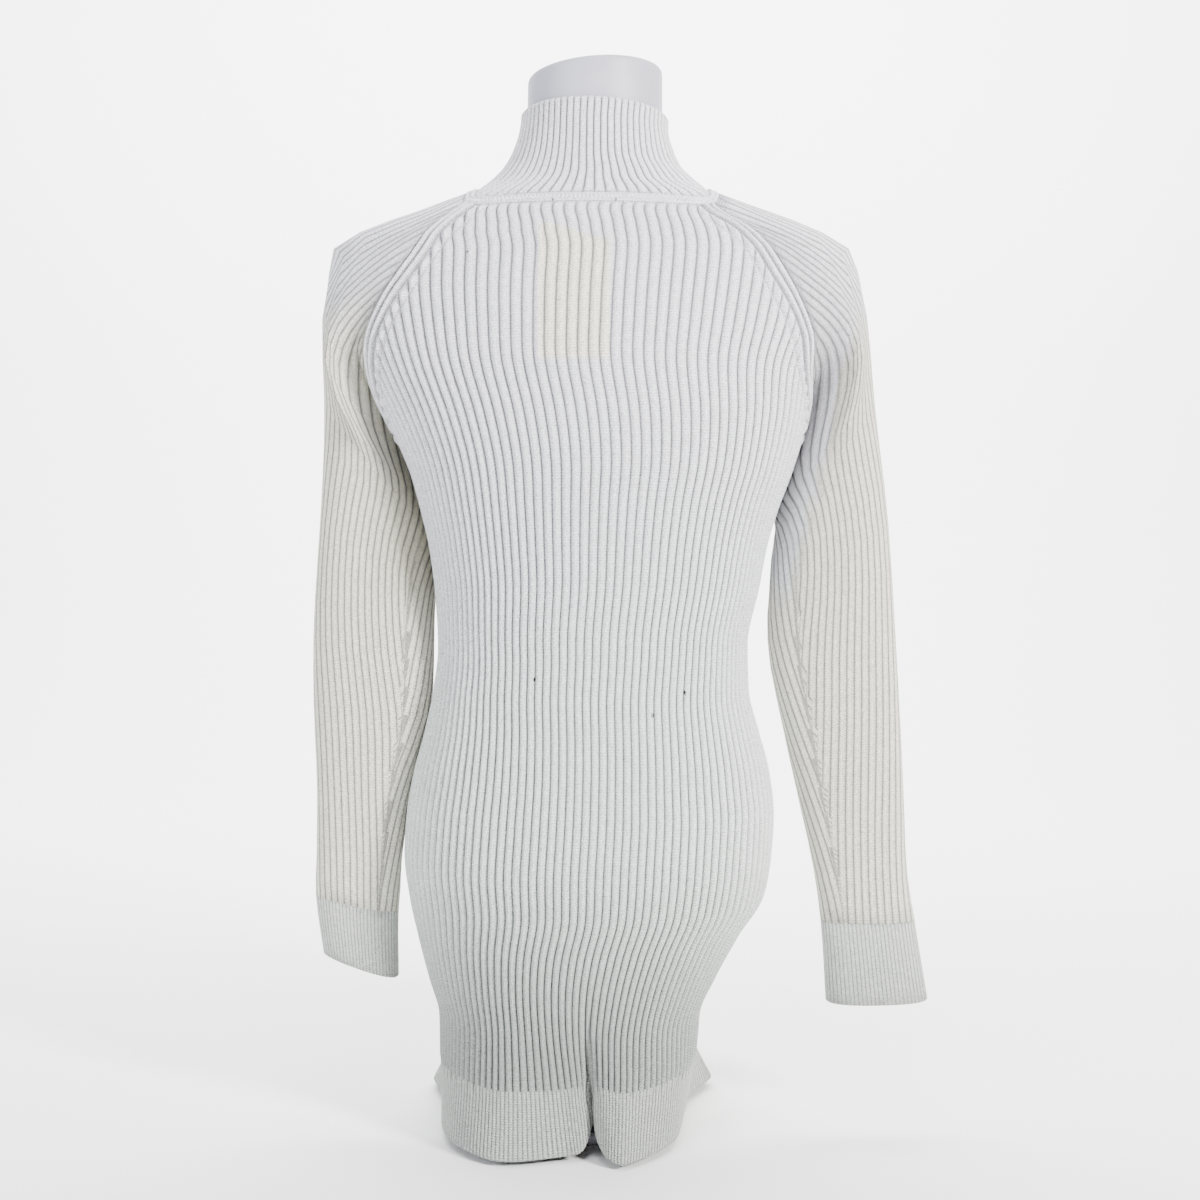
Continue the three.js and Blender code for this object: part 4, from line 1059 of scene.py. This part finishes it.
# colour of the inside label through the cloth of the back, and of a small mark under it
def labelColor(tree, color, x, y, z):
    onBack = stepUp(tree, 0.0 - y, 0.05, 0.06)
    topEdge = 0.7505 - stepUp(tree, x, -0.035, 0.021) * 0.0145
    box = between(tree, x, (-0.0365, -0.0345), (0.0195, 0.0215)) * stepUp(tree, z, 0.6375, 0.6405)
    box = box * (1.0 - stepUp(tree, z - topEdge, -0.0015, 0.0015)) * onBack
    color = mixColor(tree, box * 0.9, color, knitLook["label"])
    patch = between(tree, x, (-0.052, -0.048), (-0.024, -0.020))
    patch = patch * between(tree, z, (0.622, 0.625), (0.6335, 0.6365)) * onBack
    return mixColor(tree, patch * 0.5, color, knitLook["patch"])


def knitMaterial(name):
    kind = knitKinds[name]
    material, tree, shader = newMaterial(name)
    u, v, paintedShade, inside = (readFloat(tree, word) for word in ("knitU", "knitV", "paintedShade", "inside"))
    place = addNode(tree, "ShaderNodeTexCoord", {}, {}, "Object")
    x, y, z = axes(tree, place)
    fine = noise(tree, place, 820.0, 2.0, 0.65)
    medium = noise(tree, place, 240.0, 3.0, 0.6)
    broad = noise(tree, place, 9.0, 3.0, 0.5)

    # stitches: small v shapes in each wale of a rib
    slope = abs((u * kind["wales"]) % 1.0 - 0.5)
    row = (v / kind["stitch"] + slope * 1.1 + fine * 0.12) % 1.0
    arch = 1.0 - abs(row - 0.5) * 2.0
    stitches = arch * (1.0 - stepUp(tree, slope, 0.34, 0.5) * 0.7)

    # painted shade: darker in the grooves between ribs and over each rib's sides, less along seams
    fromGroove = abs(((u + 0.5) % 1.0) - 0.5)
    groove = 1.0 - stepUp(tree, fromGroove, 0.0, kind["groove"])
    hollow = 1.0 - stepUp(tree, fromGroove, 0.0, 0.46)    # soft shade over the whole side of a rib
    groove = groove * knitLook["grooveDark"] + hollow * knitLook["sideDark"]
    groove = groove * kind["dark"] * (1.0 - paintedShade * 0.6)

    # painted light and shade: colour from lilac white at the shoulders to a darker, greener white at the hem
    color = mixColor(tree, stepUp(tree, z, 0.12, 0.78), knitLook["low"], knitLook["top"])
    creamShare = broad * kind["cream"] * (1.0 - stepUp(tree, z, 0.64, 0.72))
    creamShare = creamShare * (1.0 - readFloat(tree, "pale") * 0.95)
    color = mixColor(tree, creamShare, color, knitLook["cream"])
    shade = 1.0 + (fine - 0.5) * (knitLook["speckle"] * 2.4) + (medium - 0.5) * knitLook["speckle"] * 0.6
    shade = shade + (stitches - 0.5) * knitLook["stitchDark"]
    # painted shade along seams, edges, dips and the crease, then the painted shade of the grooves; inside
    # faces a little darker
    shade = (shade - paintedShade * knitLook["seamDark"] - inside * knitLook["insideDark"]) * (1.0 - groove)
    # painted shade: darker towards the bottom of the dress
    shade = shade * (1.0 - (1.0 - stepUp(tree, z, 0.07, 0.27)) * kind["lowShade"])
    if kind["cream"] > 1:
        deep = between(tree, z, (0.40, 0.50), (0.58, 0.66)) * (1.0 - stepUp(tree, x, -0.01, 0.01))
        deep = deep * (1.0 - stepUp(tree, abs(x - 0.0125), 0.155, 0.21))
        color = mixColor(tree, deep * 0.85, color, knitLook["deep"])
        # painted shade over the right sleeve
        shade = shade * (1.0 - stepUp(tree, x, 0.10, 0.17) * knitLook["rightShade"])
    if name == "wideRibKnit":
        color = labelColor(tree, color, x, y, z)
    if name in ("wideRibKnit", "neckTrimKnit"):
        for px, pz, size in flecks:
            dx, dz = x - px, (z - pz) * 0.62
            spot = 1.0 - stepUp(tree, (dx * dx + dz * dz) ** 0.5, size * 0.5, size)
            shade = shade - spot * stepUp(tree, 0.0 - y, 0.03, 0.04) * knitLook["fleckDark"]
    color = addNode(tree, "ShaderNodeVectorMath", {"operation": "SCALE"}, {0: color, "Scale": shade})
    tree.links.new(color.socket, shader.inputs["Base Color"])
    rough = 0.86 + fine * 0.1
    tree.links.new(rough.socket, shader.inputs["Roughness"])
    height = stitches * 0.6 + fine * 0.5 + medium * 0.25
    bump = addNode(tree, "ShaderNodeBump", {},
                   {"Height": height, "Strength": 1.0, "Distance": knitLook["bumpDeep"]})
    tree.links.new(bump.socket, shader.inputs["Normal"])
    shader.inputs["Sheen Weight"].default_value = 0.12
    shader.inputs["Sheen Roughness"].default_value = 0.6
    shader.inputs["Specular IOR Level"].default_value = 0.25
    return material


formColors = {"shell": (0.375, 0.37, 0.44, 1), "pale": (0.42, 0.415, 0.48, 1), "mark": (0.12, 0.12, 0.14, 1)}
scuffs = [(0.0185, 0.8985, 0.0016), (0.0232, 0.8978, 0.0013)]    # at the rim of the neck: x, z and width


def formMaterial():
    material, tree, shader = newMaterial("formShell")
    place = addNode(tree, "ShaderNodeTexCoord", {}, {}, "Object")
    x, y, z = axes(tree, place)
    cloud = noise(tree, place, 22.0, 4.0, 0.55)
    grain = noise(tree, place, 1400.0, 1.0, 0.5)
    color = mixColor(tree, stepUp(tree, cloud, 0.35, 0.7), formColors["shell"], formColors["pale"])
    for px, pz, wide in scuffs:
        dx, dz = (x - px) / wide, (z - pz) / 0.0016
        spot = 1.0 - stepUp(tree, (dx * dx + dz * dz + (cloud - 0.5) * 0.6) ** 0.5, 0.5, 1.1)
        color = mixColor(tree, spot * stepUp(tree, 0.0 - y, 0.02, 0.03) * 0.6, color, formColors["mark"])
    tree.links.new(color.socket, shader.inputs["Base Color"])
    rough = 0.42 + cloud * 0.14
    tree.links.new(rough.socket, shader.inputs["Roughness"])
    bump = addNode(tree, "ShaderNodeBump", {},
                   {"Height": grain * 0.4 + cloud, "Strength": 0.12, "Distance": 0.0004})
    tree.links.new(bump.socket, shader.inputs["Normal"])
    return material


knits = {name: knitMaterial(name) for name in knitKinds}
formSkin = formMaterial()
print("materials made")


# material and slot of a piece
def clothOf(node):
    if node == "dress_form":
        return formSkin, "form_shell"
    if node == "neck_trim":
        return knits["neckTrimKnit"], "neck_trim"
    if "hem" in node or "cuff" in node:
        return knits["fineRibKnit"], "fine_rib_knit"
    word = node.split("_")[0]
    ribKnits = {"raglan": "raglanBandKnit", "collar": "collarRibKnit", "sleeve": "sleeveRibKnit"}
    return knits[ribKnits.get(word, "wideRibKnit")], "rib_knit"


for node, piece in pieces.items():
    material, slot = clothOf(node)
    piece.data.materials.append(material)
    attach(piece, "root")
    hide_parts(node)

# studio: pale floor that curves up into a wall, soft lights
studio = {"floorWide": 7.0, "front": -4.0, "back": 3.2, "curve": 1.2, "high": 4.5, "world": 0.18}


def makeFloor():
    straight = studio["back"] - studio["curve"]
    line = [(studio["front"], 0.0), (1.0, 0.0)]
    for a in np.linspace(0, np.pi / 2, 13):
        line.append((straight + studio["curve"] * np.sin(a), studio["curve"] * (1 - np.cos(a))))
    line.append((studio["back"], studio["high"]))
    vertices = [(s * studio["floorWide"], y, z) for y, z in line for s in (-1, 1)]
    faces = [(2 * i, 2 * i + 1, 2 * i + 3, 2 * i + 2) for i in range(len(line) - 1)]
    mesh = bpy.data.meshes.new("floor")
    mesh.from_pydata(vertices, [], faces)
    mesh.polygons.foreach_set("use_smooth", np.ones(len(faces), bool))
    floor = bpy.data.objects.new("floor", mesh)
    bpy.context.scene.collection.objects.link(floor)
    material, _, shader = newMaterial("paleFloor")
    shader.inputs["Base Color"].default_value = (0.93, 0.93, 0.93, 1)
    shader.inputs["Roughness"].default_value = 0.9
    shader.inputs["Specular IOR Level"].default_value = 0.1
    mesh.materials.append(material)
    return floor


makeFloor()

lightTable = {
    "key": {"at": (1.7, -1.7, 1.4), "to": (0.0, 0.0, 0.62), "size": (0.45, 0.45), "watts": 165,
            "color": (1.0, 0.99, 0.965)},
    "fill": {"at": (-1.6, -2.1, 1.3), "to": (0.0, 0.0, 0.6), "size": (1.0, 1.0), "watts": 60,
             "color": (0.93, 0.96, 1.0)},
    "top": {"at": (0.0, -1.0, 2.1), "to": (0.0, 0.0, 0.7), "size": (0.7, 0.5), "watts": 24,
            "color": (0.97, 0.97, 1.0)},
    "wall": {"at": (0.0, 1.0, 2.8), "to": (0.0, 3.2, 0.9), "size": (5.0, 1.0), "watts": 600,
             "color": (1.0, 1.0, 1.0)},
}
for name, item in lightTable.items():
    light = bpy.data.lights.new(name, "AREA")
    light.shape = "RECTANGLE"
    light.size, light.size_y = item["size"]
    light.energy = item["watts"]
    light.color = item["color"]
    lamp = bpy.data.objects.new(name, light)
    lamp.location = item["at"]
    lamp.rotation_euler = (Vector(item["to"]) - Vector(item["at"])).to_track_quat("-Z", "Y").to_euler()
    bpy.context.scene.collection.objects.link(lamp)

world = bpy.data.worlds.new("studio")
world.use_nodes = True
background = world.node_tree.nodes["Background"]
background.inputs[0].default_value = (1.0, 1.0, 1.0, 1)
background.inputs[1].default_value = studio["world"]
bpy.context.scene.world = world

cameraLook = {"at": (0.0131, -1.314, 0.449), "sensor": 36, "lens": 45.88}
camera = bpy.data.objects.new("camera", bpy.data.cameras.new("camera"))
camera.location = cameraLook["at"]
camera.rotation_euler = (np.pi / 2, 0, 0)
camera.data.sensor_width = cameraLook["sensor"]
camera.data.lens = cameraLook["lens"]
bpy.context.scene.collection.objects.link(camera)
bpy.context.scene.camera = camera

print("scene made")
